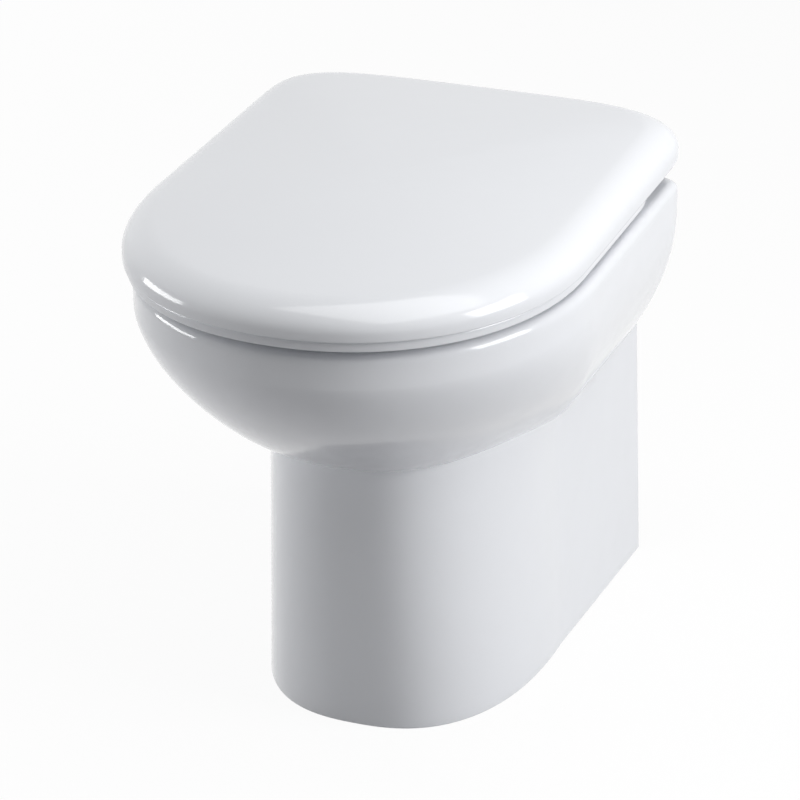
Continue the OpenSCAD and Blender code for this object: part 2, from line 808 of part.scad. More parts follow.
// Flat pad under the cover that a hinge arm is screwed to
module arm_pad(side) {
  x = side * cover_arm_x;
  d = cover_screw_d + arm_screw_spacing + 8;
  z0 = hinge_z + arm_plate / 2;
  translate([x - knuckle_length / 2, from_wall(d), z0])
    cube([knuckle_length, arm_screw_spacing + 18, cover_top + rise_at(d) - z0]);
}

// Puts its child at the two screws of an arm, at height z
module at_arm_screws(side, x, d, z) {
  for (k = [0, 1])
    translate([side * x, from_wall(d + k * arm_screw_spacing), z])
      children();
}

// Two screw holes in line, upwards from z
module arm_screw_holes(side, x, d, z, depth) {
  at_arm_screws(side, x, d, z - cut)
    cylinder(r = screw_radius, h = depth + cut);
}

// ---------------------------------------------------------------- buffers

// A place on the right and its mirror image on the left
function pair(p) = [p, [-p[0], p[1]]];

// Middle of the seat ring at angle a from the front
function ring_middle(a) = [
  ring_x * sin_n(a, 2.1),
  mix(cover_widest, (cover_front + hole_front) / 2, cos_n(a, 2.1))
];

// Places of the buffers as (half spacing, distance from the wall)
function seat_buffer_front() = ring_middle(seat_buffer_angle);
function seat_buffer_rear() = [ring_x, seat_buffer_back];
function cover_buffer_places() = concat(
  pair(ring_middle(cover_buffer_angle)),
  pair([ring_x, cover_buffer_back])
);

// Pair of buffers under the seat, each with a stem in the seat
module seat_buffer_pair(place) {
  taper = 2;
  for (p = pair(place))
    translate([p[0], from_wall(p[1]), rim_height]) {
      cylinder(r1 = buffer_radius - 1, r2 = buffer_radius, h = taper);
      translate([0, 0, taper])
        cylinder(r = buffer_radius, h = seat_lift - taper);
      translate([0, 0, seat_lift - cut])
        cylinder(r = buffer_stem_radius, h = buffer_stem_length + cut);
    }
}

module seat_buffers_front() {
  color("gainsboro") seat_buffer_pair(seat_buffer_front());
}

module seat_buffers_rear() {
  color("gainsboro") seat_buffer_pair(seat_buffer_rear());
}

module cover_buffers() {
  color("gainsboro")
    for (p = cover_buffer_places())
      translate([p[0], from_wall(p[1]), seat_top]) {
        cylinder(r1 = buffer_radius - 1.5, r2 = buffer_radius, h = 2);
        translate([0, 0, 2])
          cylinder(r = buffer_radius, h = buffer_seat_z - seat_top - 2);
      }
}

// ---------------------------------------------------------------- hinges

module hinge_gasket(side) {
  color("dimgray")
    translate([side * hinge_x, from_wall(foot_distance), rim_height])
      difference() {
        cylinder(r = post_foot_radius, h = gasket_height);
        translate([0, 0, -cut])
          cylinder(r = stud_radius + 0.5, h = gasket_height + 2 * cut);
      }
}

// Foot, a neck that leans back, and the boss that holds the pin
module hinge_post(side) {
  x0 = side * hinge_x - post_width / 2;
  x1 = x0 + post_width;
  d = hinge_distance;
  neck_base = post_z + post_foot_height - 0.5;
  color("silver")
    difference() {
      union() {
        translate([side * hinge_x, from_wall(foot_distance), post_z])
          cylinder(r = post_foot_radius, h = post_foot_height);
        side_profile([
          [foot_distance - 15, neck_base], [d + 4.5, hinge_z - 12], [d + 3.9, hinge_z - 5],
          [d, hinge_z], [d + 6, hinge_z + 1], [d + 15, hinge_z - 9],
          [foot_distance + 12, neck_base]
        ], x0, x1);
        along_x(knuckle_radius, x0, x1, hinge_distance, hinge_z);
      }
      along_x(pin_radius, x0 - cut, x1 + cut, hinge_distance, hinge_z);
      translate([side * hinge_x, from_wall(foot_distance), post_z - cut])
        cylinder(r = stud_radius, h = stud_top - post_z + cut);
    }
}

module hinge_pin(side) {
  x0 = side > 0 ? hinge_x - knuckle_end - 1 : -hinge_x - knuckle_end - 1;
  color("lightgray")
    along_x(pin_radius, x0, x0 + 2 * knuckle_end + 2, hinge_distance, hinge_z);
}

module hinge_stud(side) {
  color("silver")
    translate([side * hinge_x, from_wall(foot_distance), stud_end])
      cylinder(r = stud_radius, h = stud_top - stud_end);
}

module cone_bush(side) {
  color("dimgray")
    translate([side * hinge_x, from_wall(foot_distance), deck_under - bush_flange])
      difference() {
        union() {
          cylinder(r = seat_hole_radius + 6, h = bush_flange);
          translate([0, 0, bush_flange - 0.5])
            cylinder(r1 = seat_hole_radius - 0.3, r2 = seat_hole_radius - 2, h = deck_thickness - 4);
        }
        translate([0, 0, -cut])
          cylinder(r = stud_radius + 0.2, h = deck_thickness + bush_flange + cut);
      }
}

module clamp_washer(side) {
  color("silver")
    translate([side * hinge_x, from_wall(foot_distance), deck_under - bush_flange - washer_height])
      difference() {
        cylinder(r = seat_hole_radius + 4, h = washer_height);
        translate([0, 0, -cut])
          cylinder(r = stud_radius + 0.4, h = washer_height + 2 * cut);
      }
}

module wing_nut(side) {
  z = deck_under - bush_flange - washer_height - nut_height;
  root = 4;
  wing = wing_reach - root;
  color("white")
    translate([side * hinge_x, from_wall(foot_distance), z])
      difference() {
        union() {
          cylinder(r = nut_radius, h = nut_height);
          for (turn = [90, 270])
            rotate([0, 0, turn])
              translate([root, wing_thickness / 2, 0])
                rotate([90, 0, 0])
                  linear_extrude(height = wing_thickness)
                    polygon([
                      [0, 0], [wing - 6, -8], [wing - 1, -7], [wing, 0], [wing - 4, 4], [0, 5]
                    ]);
        }
        translate([0, 0, -cut])
          cylinder(r = stud_radius, h = nut_height + 2 * cut);
      }
}

// Knuckle on the pin, with its running bore
module knuckle(x0) {
  along_x(knuckle_radius, x0, x0 + knuckle_length, hinge_distance, hinge_z);
}

module knuckle_bore(x0) {
  along_x(
    pin_radius + running_clearance, x0 - cut, x0 + knuckle_length + cut, hinge_distance, hinge_z
  );
}

// Arm under the seat, cranked up to the pin
module seat_hinge_arm(side) {
  x0 = side * seat_arm_x - knuckle_length / 2;
  top = hinge_z + knuckle_radius - 0.3;
  d = hinge_distance;
  plate_end = seat_screw_d + arm_screw_spacing + 8;
  color("silver")
    difference() {
      union() {
        knuckle(x0);
        side_profile([
          [d, top], [d + 14, top - 2], [d + 32, seat_top - 1], [seat_back - 12, seat_z + 3],
          [seat_back - 6, seat_z], [plate_end, seat_z], [plate_end, seat_z - arm_plate],
          [seat_back - 14, seat_z - arm_plate], [d + 36, seat_z + 4],
          [d + 12, hinge_z - knuckle_radius], [d, hinge_z - knuckle_radius + 0.3]
        ], x0, x0 + knuckle_length);
      }
      knuckle_bore(x0);
      at_arm_screws(side, seat_arm_x, seat_screw_d, seat_z - arm_plate - cut)
        cylinder(r = screw_radius + 0.2, h = arm_plate + 2 * cut);
    }
}

// Arm under the cover
module cover_hinge_arm(side) {
  x0 = side * cover_arm_x - knuckle_length / 2;
  z0 = hinge_z - arm_plate / 2;
  length = cover_screw_d + arm_screw_spacing + 8 - hinge_distance;
  color("silver")
    difference() {
      union() {
        knuckle(x0);
        translate([x0, from_wall(hinge_distance + length), z0])
          cube([knuckle_length, length, arm_plate]);
      }
      knuckle_bore(x0);
      at_arm_screws(side, cover_arm_x, cover_screw_d, z0 - cut)
        cylinder(r = screw_radius + 0.2, h = arm_plate + 2 * cut);
    }
}

// Countersunk screw pointing up, its head below z
module arm_screw(length) {
  translate([0, 0, -screw_head_height])
    cylinder(r1 = screw_head_radius - 0.6, r2 = screw_head_radius, h = screw_head_height);
  cylinder(r = screw_radius, h = length);
}

module seat_arm_screws() {
  color("silver")
    for (side = [-1, 1])
      at_arm_screws(side, seat_arm_x, seat_screw_d, seat_z - arm_plate)
        arm_screw(arm_plate + 6);
}

module cover_arm_screws() {
  color("silver")
    for (side = [-1, 1])
      at_arm_screws(side, cover_arm_x, cover_screw_d, hinge_z - arm_plate / 2)
        arm_screw(arm_plate + 5);
}

module hinge_gasket_right() { hinge_gasket(1); }
module hinge_gasket_left() { hinge_gasket(-1); }
module hinge_post_right() { hinge_post(1); }
module hinge_post_left() { hinge_post(-1); }
module hinge_pin_right() { hinge_pin(1); }
module hinge_pin_left() { hinge_pin(-1); }
module hinge_stud_right() { hinge_stud(1); }
module hinge_stud_left() { hinge_stud(-1); }
module cone_bush_right() { cone_bush(1); }
module cone_bush_left() { cone_bush(-1); }
module clamp_washer_right() { clamp_washer(1); }
module clamp_washer_left() { clamp_washer(-1); }
module wing_nut_right() { wing_nut(1); }
module wing_nut_left() { wing_nut(-1); }
module seat_hinge_arm_right() { seat_hinge_arm(1); }
module seat_hinge_arm_left() { seat_hinge_arm(-1); }
module cover_hinge_arm_right() { cover_hinge_arm(1); }
module cover_hinge_arm_left() { cover_hinge_arm(-1); }

pan();
seat_ring();
cover();
seat_buffers_front();
seat_buffers_rear();
cover_buffers();
hinge_gasket_right();
hinge_gasket_left();
hinge_post_right();
hinge_post_left();
hinge_pin_right();
hinge_pin_left();
hinge_stud_right();
hinge_stud_left();
cone_bush_right();
cone_bush_left();
clamp_washer_right();
clamp_washer_left();
wing_nut_right();
wing_nut_left();
seat_hinge_arm_right();
seat_hinge_arm_left();
cover_hinge_arm_right();
cover_hinge_arm_left();
seat_arm_screws();
cover_arm_screws();
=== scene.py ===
"""Dresses a back to wall toilet: glazed china pan, gloss moulded seat and cover, plated hinges.

Lengths are metres. Most places are given as a distance from the wall, which grows to the front.
"""

import json
import math

import bmesh
import bpy
import numpy as np
from mathutils import Matrix, Vector

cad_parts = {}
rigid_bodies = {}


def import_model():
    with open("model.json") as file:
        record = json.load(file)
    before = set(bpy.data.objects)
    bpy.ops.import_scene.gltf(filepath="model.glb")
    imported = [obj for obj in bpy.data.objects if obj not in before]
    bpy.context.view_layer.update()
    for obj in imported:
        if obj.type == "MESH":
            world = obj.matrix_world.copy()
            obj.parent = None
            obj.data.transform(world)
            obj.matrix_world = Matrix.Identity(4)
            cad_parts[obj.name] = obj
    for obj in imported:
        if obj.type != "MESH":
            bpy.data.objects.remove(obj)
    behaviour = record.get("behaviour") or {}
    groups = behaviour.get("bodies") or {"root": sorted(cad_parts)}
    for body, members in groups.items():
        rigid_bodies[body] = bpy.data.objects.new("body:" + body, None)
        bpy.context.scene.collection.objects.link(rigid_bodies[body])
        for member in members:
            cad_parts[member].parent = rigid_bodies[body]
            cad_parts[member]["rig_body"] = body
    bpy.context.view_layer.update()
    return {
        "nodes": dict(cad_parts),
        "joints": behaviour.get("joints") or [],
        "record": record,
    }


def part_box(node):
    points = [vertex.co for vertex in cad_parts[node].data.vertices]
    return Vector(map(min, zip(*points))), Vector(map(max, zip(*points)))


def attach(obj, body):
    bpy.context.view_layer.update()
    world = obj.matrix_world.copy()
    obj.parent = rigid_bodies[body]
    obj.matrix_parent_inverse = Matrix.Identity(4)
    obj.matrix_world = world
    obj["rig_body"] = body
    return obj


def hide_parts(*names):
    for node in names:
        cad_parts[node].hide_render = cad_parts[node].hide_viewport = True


bl_info = {
    "name": "Back to Wall Toilet",
    "version": (1, 0, 0),
    "blender": (4, 5, 0),
    "location": "3D View > Sidebar > Toilet",
    "description": "Adds the china pan, the seat, the cover, the hinges and a studio",
    "category": "Add Mesh",
}

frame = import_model()
PAN_LOW, PAN_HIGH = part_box("pan")
SEAT_LOW, SEAT_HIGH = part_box("seat_ring")
COVER_LOW, COVER_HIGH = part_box("cover")
STUD_LOW, STUD_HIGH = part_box("hinge_stud_right")
WALL = PAN_HIGH.y
SIDES = (-1, 1)
WHITE = (1, 1, 1, 1)

# A point of the axis that the seat and the cover turn about
AXIS = Vector(frame["joints"][0]["pos_m"])

# Points round half an outline of the pan, part by part
ARC, SIDE, CORNER, FACE, BACK, WALL_LINE = 72, 14, 10, 6, 6, 10
HALF = ARC + SIDE + CORNER + FACE + CORNER + BACK + WALL_LINE

# Levels of the pan: rounded edge, pedestal, flare, rim, bowl, sump, and its hidden inside
EDGE, PEDESTAL, FLARE, UPRIGHT, BOWL, SUMP, INSIDE = 7, 26, 64, 5, 54, 14, 40

# Steps round half an outline of the cover: front curve, straight side, back corner
COVER_FRONT, COVER_SIDE, COVER_CORNER = 45, 11, 34
EGG_HALF = COVER_FRONT + COVER_SIDE + COVER_CORNER

# Levels of the cover: rolled edge, crowned top
ROLL, CROWN = 22, 26

# Powers of the sine by which the sides and the front of the bowl widen upwards, and of the
# cosine by which the front rises
SIDE_FLARE, FRONT_FLARE, FRONT_RISE = 2.2, 1.7, 1.3

# The bowl's widest line as a share of the way to its front, how much fuller its back curve is,
# and the fullness of the opening in the rim
BOWL_WIDEST, BOWL_BACK, OPENING_FULLNESS = 0.48, 0.3, 2.2

# Turn of the trapway over its weir in degrees, and its steps up to the weir and over it
WEIR_TURN, UP_STEPS, OVER_STEPS = 165, 13, 23

# Fullness of the front and the back curve of the hole in the seat
HOLE_FULLNESS = 2.1, 2.5

# Small length by which a cut runs past the face that it meets, and a bend clears its centre
SPARE = 0.001

# Vertices closer than MERGE are one, and slivers of the pan thinner than SLIVER are closed
MERGE, SLIVER = 1e-6, 8e-6

# Bevel of the small parts, and the angles in degrees from which an edge of theirs is sharp and
# up to which it is flat and left out
SOFT_EDGE, SHARP, FLAT = 0.0004, 40, 1


# ---------- sizes and finishes


def length(name, description, default):
    """Property for a length in metres."""
    return bpy.props.FloatProperty(
        name=name, description=description, default=default, unit="LENGTH", precision=4
    )


def angle(name, description, degrees):
    """Property for an angle, its default given in degrees."""
    return bpy.props.FloatProperty(
        name=name, description=description, default=math.radians(degrees), subtype="ANGLE"
    )


def number(name, description, default):
    """Property for a plain number."""
    return bpy.props.FloatProperty(name=name, description=description, default=default)


def colour(name, description, code):
    """Property for a colour, its default given as an sRGB hex code."""
    return bpy.props.FloatVectorProperty(
        name=name, description=description, subtype="COLOR", size=4, default=hex_colour(code)
    )


def hex_colour(code):
    """Linear red, green, blue and alpha of an sRGB hex code such as f2f3f5, by the curve of the
    sRGB standard."""
    c = np.array([int(code[i : i + 2], 16) for i in (0, 2, 4)]) / 255
    return (*np.where(c <= 0.04045, c / 12.92, ((c + 0.055) / 1.055) ** 2.4), 1.0)


class PanSizes(bpy.types.PropertyGroup):
    """Sizes of the china pan"""

    rim_height: length("Rim height", "Height of the rim above the floor", PAN_HIGH.z)
    width: length("Width", "Width of the pan at its widest", 2 * PAN_HIGH.x)
    front: length("Front", "From the wall to the front of the rim", WALL - PAN_LOW.y)
    widest: length("Widest line", "From the wall to the widest line of the rim", 0.326)
    fullness: number("Fullness", "Fullness of the front curve, where 2 is an ellipse", 2.06)
    full_height: length("Full width height", "Height at which the bowl is at its full width", 0.374)
    rim_edge: length("Rim edge", "Rounding of the outer edge of the rim", 0.008)
    shoulder: length("Shoulder", "From the wall to where the bowl steps in", 0.098)
    corner_depth: length("Shoulder corner", "Depth of the rounded corner of the shoulder", 0.012)
    back_width: length("Back width", "Width of the back at the rim", 0.230)
    foot_back: length("Foot at the wall", "Width of the foot at the wall", 0.256)
    foot_wide: length("Foot width", "Width of the foot where its front curve starts", 0.236)
    foot_front: length("Foot front", "From the wall to the front of the foot", 0.380)
    foot_curve: length("Foot curve", "From the wall to the start of the front curve", 0.190)
    foot_fullness: number("Foot fullness", "Fullness of the front curve of the pedestal", 2.5)
    foot_edge: length("Foot edge", "Rounding of the lower edge of the foot", 0.002)
    crease_back: length("Crease at the wall", "Width of the crease by the wall", 0.240)
    crease_wide: length("Crease width", "Width of the pedestal at the crease", 0.214)
    crease_front: length("Crease front", "From the wall to the front of the crease", 0.400)
    crease_low: length("Crease height", "Height of the crease along the sides", 0.211)
    crease_high: length("Crease front height", "Height of the crease at the front", 0.242)
    china: length("China wall", "Wall of the hollow casting", 0.012)
    deck: length("Deck", "Thickness of the deck over the service space", 0.014)
    opening_width: length("Opening width", "Width of the opening in the rim", 0.236)
    opening_front: length("Opening front", "From the wall to the front of the opening", 0.486)
    opening_back: length("Opening back", "From the wall to the back of the opening", 0.196)
    lip: length("Lip", "Thickness of the lip inside the rim", 0.008)
    lip_height: length("Lip height", "Height of the lip from the top of the rim", 0.048)
    channel: length("Flush channel", "Width of the open flush channel behind the lip", 0.014)
    channel_drop: length("Channel drop", "How far below the lip the bowl starts", 0.006)
    roof: length("Channel roof", "Thickness of the china over the flush channel", 0.012)
    bowl_floor: length("Bowl floor", "Height of the floor of the bowl", 0.236)
    sump_radius: length("Sump radius", "Radius of the sump", 0.046)
    sump_bottom: length("Sump bottom", "Height of the bottom of the sump", 0.090)
    sump_centre: length("Sump centre", "From the wall to the middle of the sump", 0.286)


class PipeSizes(bpy.types.PropertyGroup):
    """Sizes of the trapway, the outlet, the flush inlet and the fixing lugs"""

    trap: length("Trap radius", "Inner radius of the trapway", 0.036)
    trap_wall: length("Trap wall", "Wall of the trapway", 0.009)
    weir: length("Weir height", "Height of the centre of the trapway at its weir", 0.249)
    outlet: length("Outlet radius", "Outer radius of the outlet spigot", 0.051)
    outlet_wall: length("Outlet wall", "Wall of the outlet spigot", 0.006)
    outlet_height: length("Outlet height", "Height of the outlet above the floor", 0.185)
    outlet_setback: length("Outlet setback", "From the wall to the end of the spigot", 0.015)
    outlet_length: length("Outlet length", "Length of the straight spigot", 0.045)
    collar: length("Collar", "How far the chamber stands out over the spigot", 0.003)
    inlet: length("Inlet radius", "Inner radius of the flush inlet", 0.0285)
    inlet_wall: length("Inlet wall", "Wall of the flush inlet", 0.009)
    inlet_depth: length("Inlet depth", "Depth of the flush inlet socket", 0.050)
    inlet_height: length("Inlet height", "Height of the flush inlet", 0.340)
    inlet_setback: length("Inlet setback", "From the wall to the mouth of the inlet", 0.024)
    passage: length("Passage radius", "Radius of the passage from the inlet to the bowl", 0.018)
    lug_spacing: length("Lug spacing", "Distance between the two floor fixing holes", 0.160)
    lug_distance: length("Lug distance", "From the wall to the floor fixing holes", 0.042)
    lug_height: length("Lug height", "Thickness of the floor lugs", 0.016)
    lug_margin: length("Lug margin", "China around each floor fixing hole", 0.009)
    lug_hole: length("Lug hole", "Radius of the floor fixing holes", 0.005)
    seat_hole: length("Seat hole", "Radius of the holes for the seat studs", 0.007)


class SeatSizes(bpy.types.PropertyGroup):
    """Sizes of the seat ring and the cover"""

    width: length("Cover width", "Width of the cover", 2 * COVER_HIGH.x)
    front: length("Cover front", "From the wall to the front of the cover", WALL - COVER_LOW.y)
    back: length("Cover back", "From the wall to the back of the cover", WALL - COVER_HIGH.y)
    widest: length("Widest line", "From the wall to the start of the front curve", 0.345)
    fullness: number("Fullness", "Fullness of the front curve of the cover", 2.14)
    corner: length("Corner", "Depth of the back corners of the cover and seat", 0.093)
    squareness: number("Squareness", "Squareness of the back corners, where 2 is an ellipse", 4.6)
    wall: length("Cover wall", "Thickness of the shell of the cover", 0.005)
    skirt: length("Skirt", "Height of the lower edge of the cover", COVER_LOW.z)
    roll_height: length("Roll height", "Height of the rolled edge of the cover", 0.018)
    roll_width: length("Roll width", "Width of the rolled edge of the cover", 0.026)
    upright: length("Upright", "Height of the upright part of the skirt", 0.0057)
    crown: length("Crown", "Rise of the crowned top", 0.009)
    rise: length("Rise", "Rise of the top of the cover from its front to its back", 0.0065)
    centre: length("Crown centre", "From the wall to the top of the crown", 0.315)
    ring_low: length("Ring low", "Height of the underside of the seat ring", SEAT_LOW.z)
    ring_high: length("Ring high", "Height of the top of the seat ring", SEAT_HIGH.z)
    ring_inset: length("Ring inset", "Inset of the band of the ring under the cover", 0.003)
    ring_back: length("Ring back", "From the wall to the back of the seat ring", WALL - SEAT_HIGH.y)
    band: length("Band", "Height of the outer band of the seat ring", 0.008)
    hollow: length("Hollow", "Depth of the hollow underside of the seat ring", 0.004)
    hole_width: length("Hole width", "Width of the hole in the seat", 0.216)
    hole_front: length("Hole front", "From the wall to the front of the hole", 0.488)
    hole_back: length("Hole back", "From the wall to the back of the hole", 0.190)
    hole_widest: length("Hole widest", "From the wall to the widest line of the hole", 0.330)
    notch_half: length("Notch", "Half the width of the notch over a hinge", 0.0325)
    notch_front: length("Notch front", "How far the notch runs in front of the hinge axis", 0.0185)
    notch_top: length("Notch top", "Height of the notch above the hinge axis", 0.007)
    slot_half: length("Slot", "Half the width of the slot that lets the upright pass", 0.013)
    slot_front: length("Slot front", "How far the slot ends behind the hinge axis", 0.002)
    pad_length: length("Pad", "Length of the pads for the hinge arms", 0.040)
    plate: length("Arm plate", "Thickness of the plates of the hinge arms", 0.0036)
    boss: length("Boss", "Radius of the bosses that carry the buffers", 0.0085)


class Finishes(bpy.types.PropertyGroup):
    """Colours of the finishes and the glow of the floor"""

    china: colour("China", "Glazed vitreous china", "edeff3")
    seat_plastic: colour("Moulding", "Gloss urea moulding of the seat and cover", "edeff3")
    buffer_rubber: colour("Buffers", "Soft pale rubber", "d9dad8")
    fixing_rubber: colour("Gaskets", "Black rubber of the gaskets and bushes", "26272a")
    hinge_chrome: colour("Plating", "Chrome plate on zinc", "dcdde0")
    fixing_steel: colour("Steel", "Stainless steel", "b9babd")
    nut_plastic: colour("Nylon", "Natural nylon", "e6e5df")
    floor: colour("Floor", "Studio paper as the lamps light it", "aaaaac")
    glow: number("Floor glow", "Share of plain white in the floor where it is seen", 0.93)


# ---------- shapes


def mix(a, b, t):
    """What lies between a and b, t of the way."""
    return a + (b - a) * t


def sin_power(t, n):
    """Power of the sine that draws a superellipse of fullness n."""
    return np.maximum(np.sin(t), 0) ** (2 / n)


def cos_power(t, n):
    """Power of the cosine that draws a superellipse of fullness n."""
    return np.maximum(np.cos(t), 0) ** (2 / n)


def column(values):
    """The values as a column, one level of a surface per row."""
    return np.atleast_1d(values).astype(float)[:, None]


def rings_at(x, d, z):
    """Closed rings at heights z from right halves, given as x and distance from the wall, that
    run from the front centre to the back centre."""
    half = np.stack([x, WALL - d, z + 0 * x], -1)
    left = half[:, -2:0:-1] * np.array([-1, 1, 1])
    return np.concatenate([half, left], axis=1)


def rounded(points, radii, steps=6):
    """Open outline whose inner corners are rounded: each is a quadratic curve that leaves the
    corner's two edges at the given distance from it."""
    p = np.asarray(points, float)
    inner, cut = p[1:-1], np.asarray(radii, float)[:, None]
    to_last = p[:-2] - inner
    to_next = p[2:] - inner
    a = inner + cut * to_last / np.linalg.norm(to_last, axis=1)[:, None]
    b = inner + cut * to_next / np.linalg.norm(to_next, axis=1)[:, None]
    t = np.linspace(0, 1, steps + 1)[None, :, None]
    curves = (1 - t) ** 2 * a[:, None] + 2 * t * (1 - t) * inner[:, None] + t**2 * b[:, None]
    return np.concatenate([p[:1], curves.reshape(-1, p.shape[1]), p[-1:]])


def new_object(name, data):
    """Object of a mesh, lamp or camera, linked to the scene."""
    made = bpy.data.objects.new(name, data)
    bpy.context.scene.collection.objects.link(made)
    return made


def clean_mesh(mesh, merge, step):
    """Merges the vertices of a mesh that are closer than merge, then does one more step on it."""
    edit = bmesh.new()
    edit.from_mesh(mesh)
    bmesh.ops.remove_doubles(edit, verts=edit.verts, dist=merge)
    step(edit)
    edit.to_mesh(mesh)
    edit.free()


def mesh_object(name, points, faces):
    """Mesh object from points and faces, its normals turned outwards."""
    mesh = bpy.data.meshes.new(name)
    mesh.from_pydata(points.tolist(), [], faces)
    clean_mesh(mesh, MERGE, lambda m: bmesh.ops.recalc_face_normals(m, faces=m.faces))
    return new_object(name, mesh)


def skin(name, rings, endless=False):
    """Surface over a grid of rings (level, round, xyz), each ring closed. The ends are capped,
    or where it is endless the last level joins the first."""
    levels, count = rings.shape[:2]
    rows = levels if endless else levels - 1
    i, j = np.meshgrid(np.arange(rows), np.arange(count), indexing="ij")
    up, on = (i + 1) % levels, (j + 1) % count
    quads = np.stack([i * count + j, i * count + on, up * count + on, up * count + j], -1)
    faces = quads.reshape(-1, 4).tolist()
    if not endless:
        faces.append(list(range(count))[::-1])
        faces.append(list(range((levels - 1) * count, levels * count)))
    return mesh_object(name, rings.reshape(-1, 3), faces)


def lathe(name, profile, place, direction, count=64):
    """Surface of revolution: the profile of (radius, height) turned about the z axis, then its
    axis laid along a direction at a place."""
    turn = np.linspace(0, 2 * np.pi, count, endpoint=False)[None]
    r, z = np.asarray(profile, float).T[:, :, None]
    made = skin(name, np.stack([r * np.cos(turn), r * np.sin(turn), z + 0 * turn], -1))
    lay = Vector(direction).to_track_quat("Z", "Y").to_matrix().to_4x4()
    made.data.transform(Matrix.Translation(place) @ lay)
    return made


def prism(name, outline, low, high):
    """Upright solid of a closed outline, from height low to height high."""
    flat = np.asarray(outline, float)
    return skin(name, np.stack([np.insert(flat, 2, z, axis=1) for z in (low, high)]))


def tube(name, path, radius, count=48):
    """Pipe of a radius along a path in the plane x = 0. The path's rows are distance from the
    wall, height and direction, and each ring is a circle square to the direction."""
    turn = np.linspace(0, 2 * np.pi, count, endpoint=False)[None]
    d, z, a = (c[:, None] for c in path.T)
    across = radius * np.cos(turn)
    x = radius * np.sin(turn) + 0 * d
    return skin(name, np.stack([x, WALL - (d + across * np.sin(a)), z - across * np.cos(a)], -1))


def bar(name, radius, start, end):
    """Round bar of a radius from start to end."""
    start, run = Vector(start), Vector(end) - Vector(start)
    return lathe(name, [(radius, 0), (radius, run.length)], start, run)


def level_bar(name, radius, near, far, z):
    """Round bar at height z, square to the wall, from distance near to distance far."""
    return bar(name, radius, (0, WALL - near, z), (0, WALL - far, z))


def upright_bar(name, radius, x, y, low, high):
    """Round bar that stands at x, y and goes from height low to height high."""
    return bar(name, radius, (x, y, low), (x, y, high))


def combine(target, tools, operation):
    """Joins tools to target, or cuts them from it, and deletes the tools."""
    for tool in tools:
        step = target.modifiers.new("step", "BOOLEAN")
        step.operation = operation
        step.solver = "MANIFOLD"
        step.object = tool
    graph = bpy.context.evaluated_depsgraph_get()
    done = bpy.data.meshes.new_from_object(target.evaluated_get(graph))
    if not done.polygons:
        raise RuntimeError(f"nothing is left of {target.name} after {operation}")
    target.modifiers.clear()
    old = target.data
    target.data = done
    bpy.data.meshes.remove(old)
    for tool in tools:
        bpy.data.objects.remove(tool)
    return target


def places_of(mesh):
    """Places of a mesh's vertices, one per row."""
    places = np.empty(3 * len(mesh.vertices))
    mesh.vertices.foreach_get("co", places)
    return places.reshape(-1, 3)


def without_folds(piece):
    """Rebuilds a piece from its triangles, less the pairs that a cut left lying on each other."""
    mesh = piece.data
    clean_mesh(mesh, SLIVER, lambda m: bmesh.ops.triangulate(m, faces=m.faces))
    corners = np.empty(len(mesh.loops), int)
    mesh.loops.foreach_get("vertex_index", corners)
    triangles, places = corners.reshape(-1, 3), places_of(mesh)
    _, like, count = np.unique(
        np.sort(triangles, 1), axis=0, return_inverse=True, return_counts=True
    )
    used, kept = np.unique(triangles[count[like.ravel()] == 1], return_inverse=True)
    mesh.clear_geometry()
    mesh.from_pydata(places[used].tolist(), [], kept.reshape(-1, 3).tolist())


def finish_piece(piece, name, body, slot, nodes, sharp):
    """Names a finished piece, gives it the finish of its slot, smooths it over edges of less
    than sharp degrees, and seats it on its body."""
    piece.name = piece.data.name = name
    piece.data.polygons.foreach_set("use_smooth", np.ones(len(piece.data.polygons), bool))
    piece.data.set_sharp_from_angle(angle=math.radians(sharp))
    piece.data.materials.clear()
    piece.data.materials.append(finish_of(slot))
    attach(piece, body)
    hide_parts(*nodes)


# ---------- materials


def add_node(tree, kind, settings=None, links=None):
    """Adds a shader node with its settings and the outputs that feed its inputs."""
    made = tree.nodes.new(kind)
    for key, value in (settings or {}).items():
        if isinstance(key, int) or key in made.inputs:
            made.inputs[key].default_value = value
        else:
            setattr(made, key, value)
    for key, output in (links or {}).items():
        tree.links.new(output, made.inputs[key])
    return made


def new_material(name):
    """Empty material with its tree, its Principled shader and its object coordinates."""
    material = bpy.data.materials.new(name)
    material.use_nodes = True
    tree = material.node_tree
    shader = tree.nodes["Principled BSDF"]
    place = tree.nodes.new("ShaderNodeTexCoord").outputs["Object"]
    return material, tree, shader, place


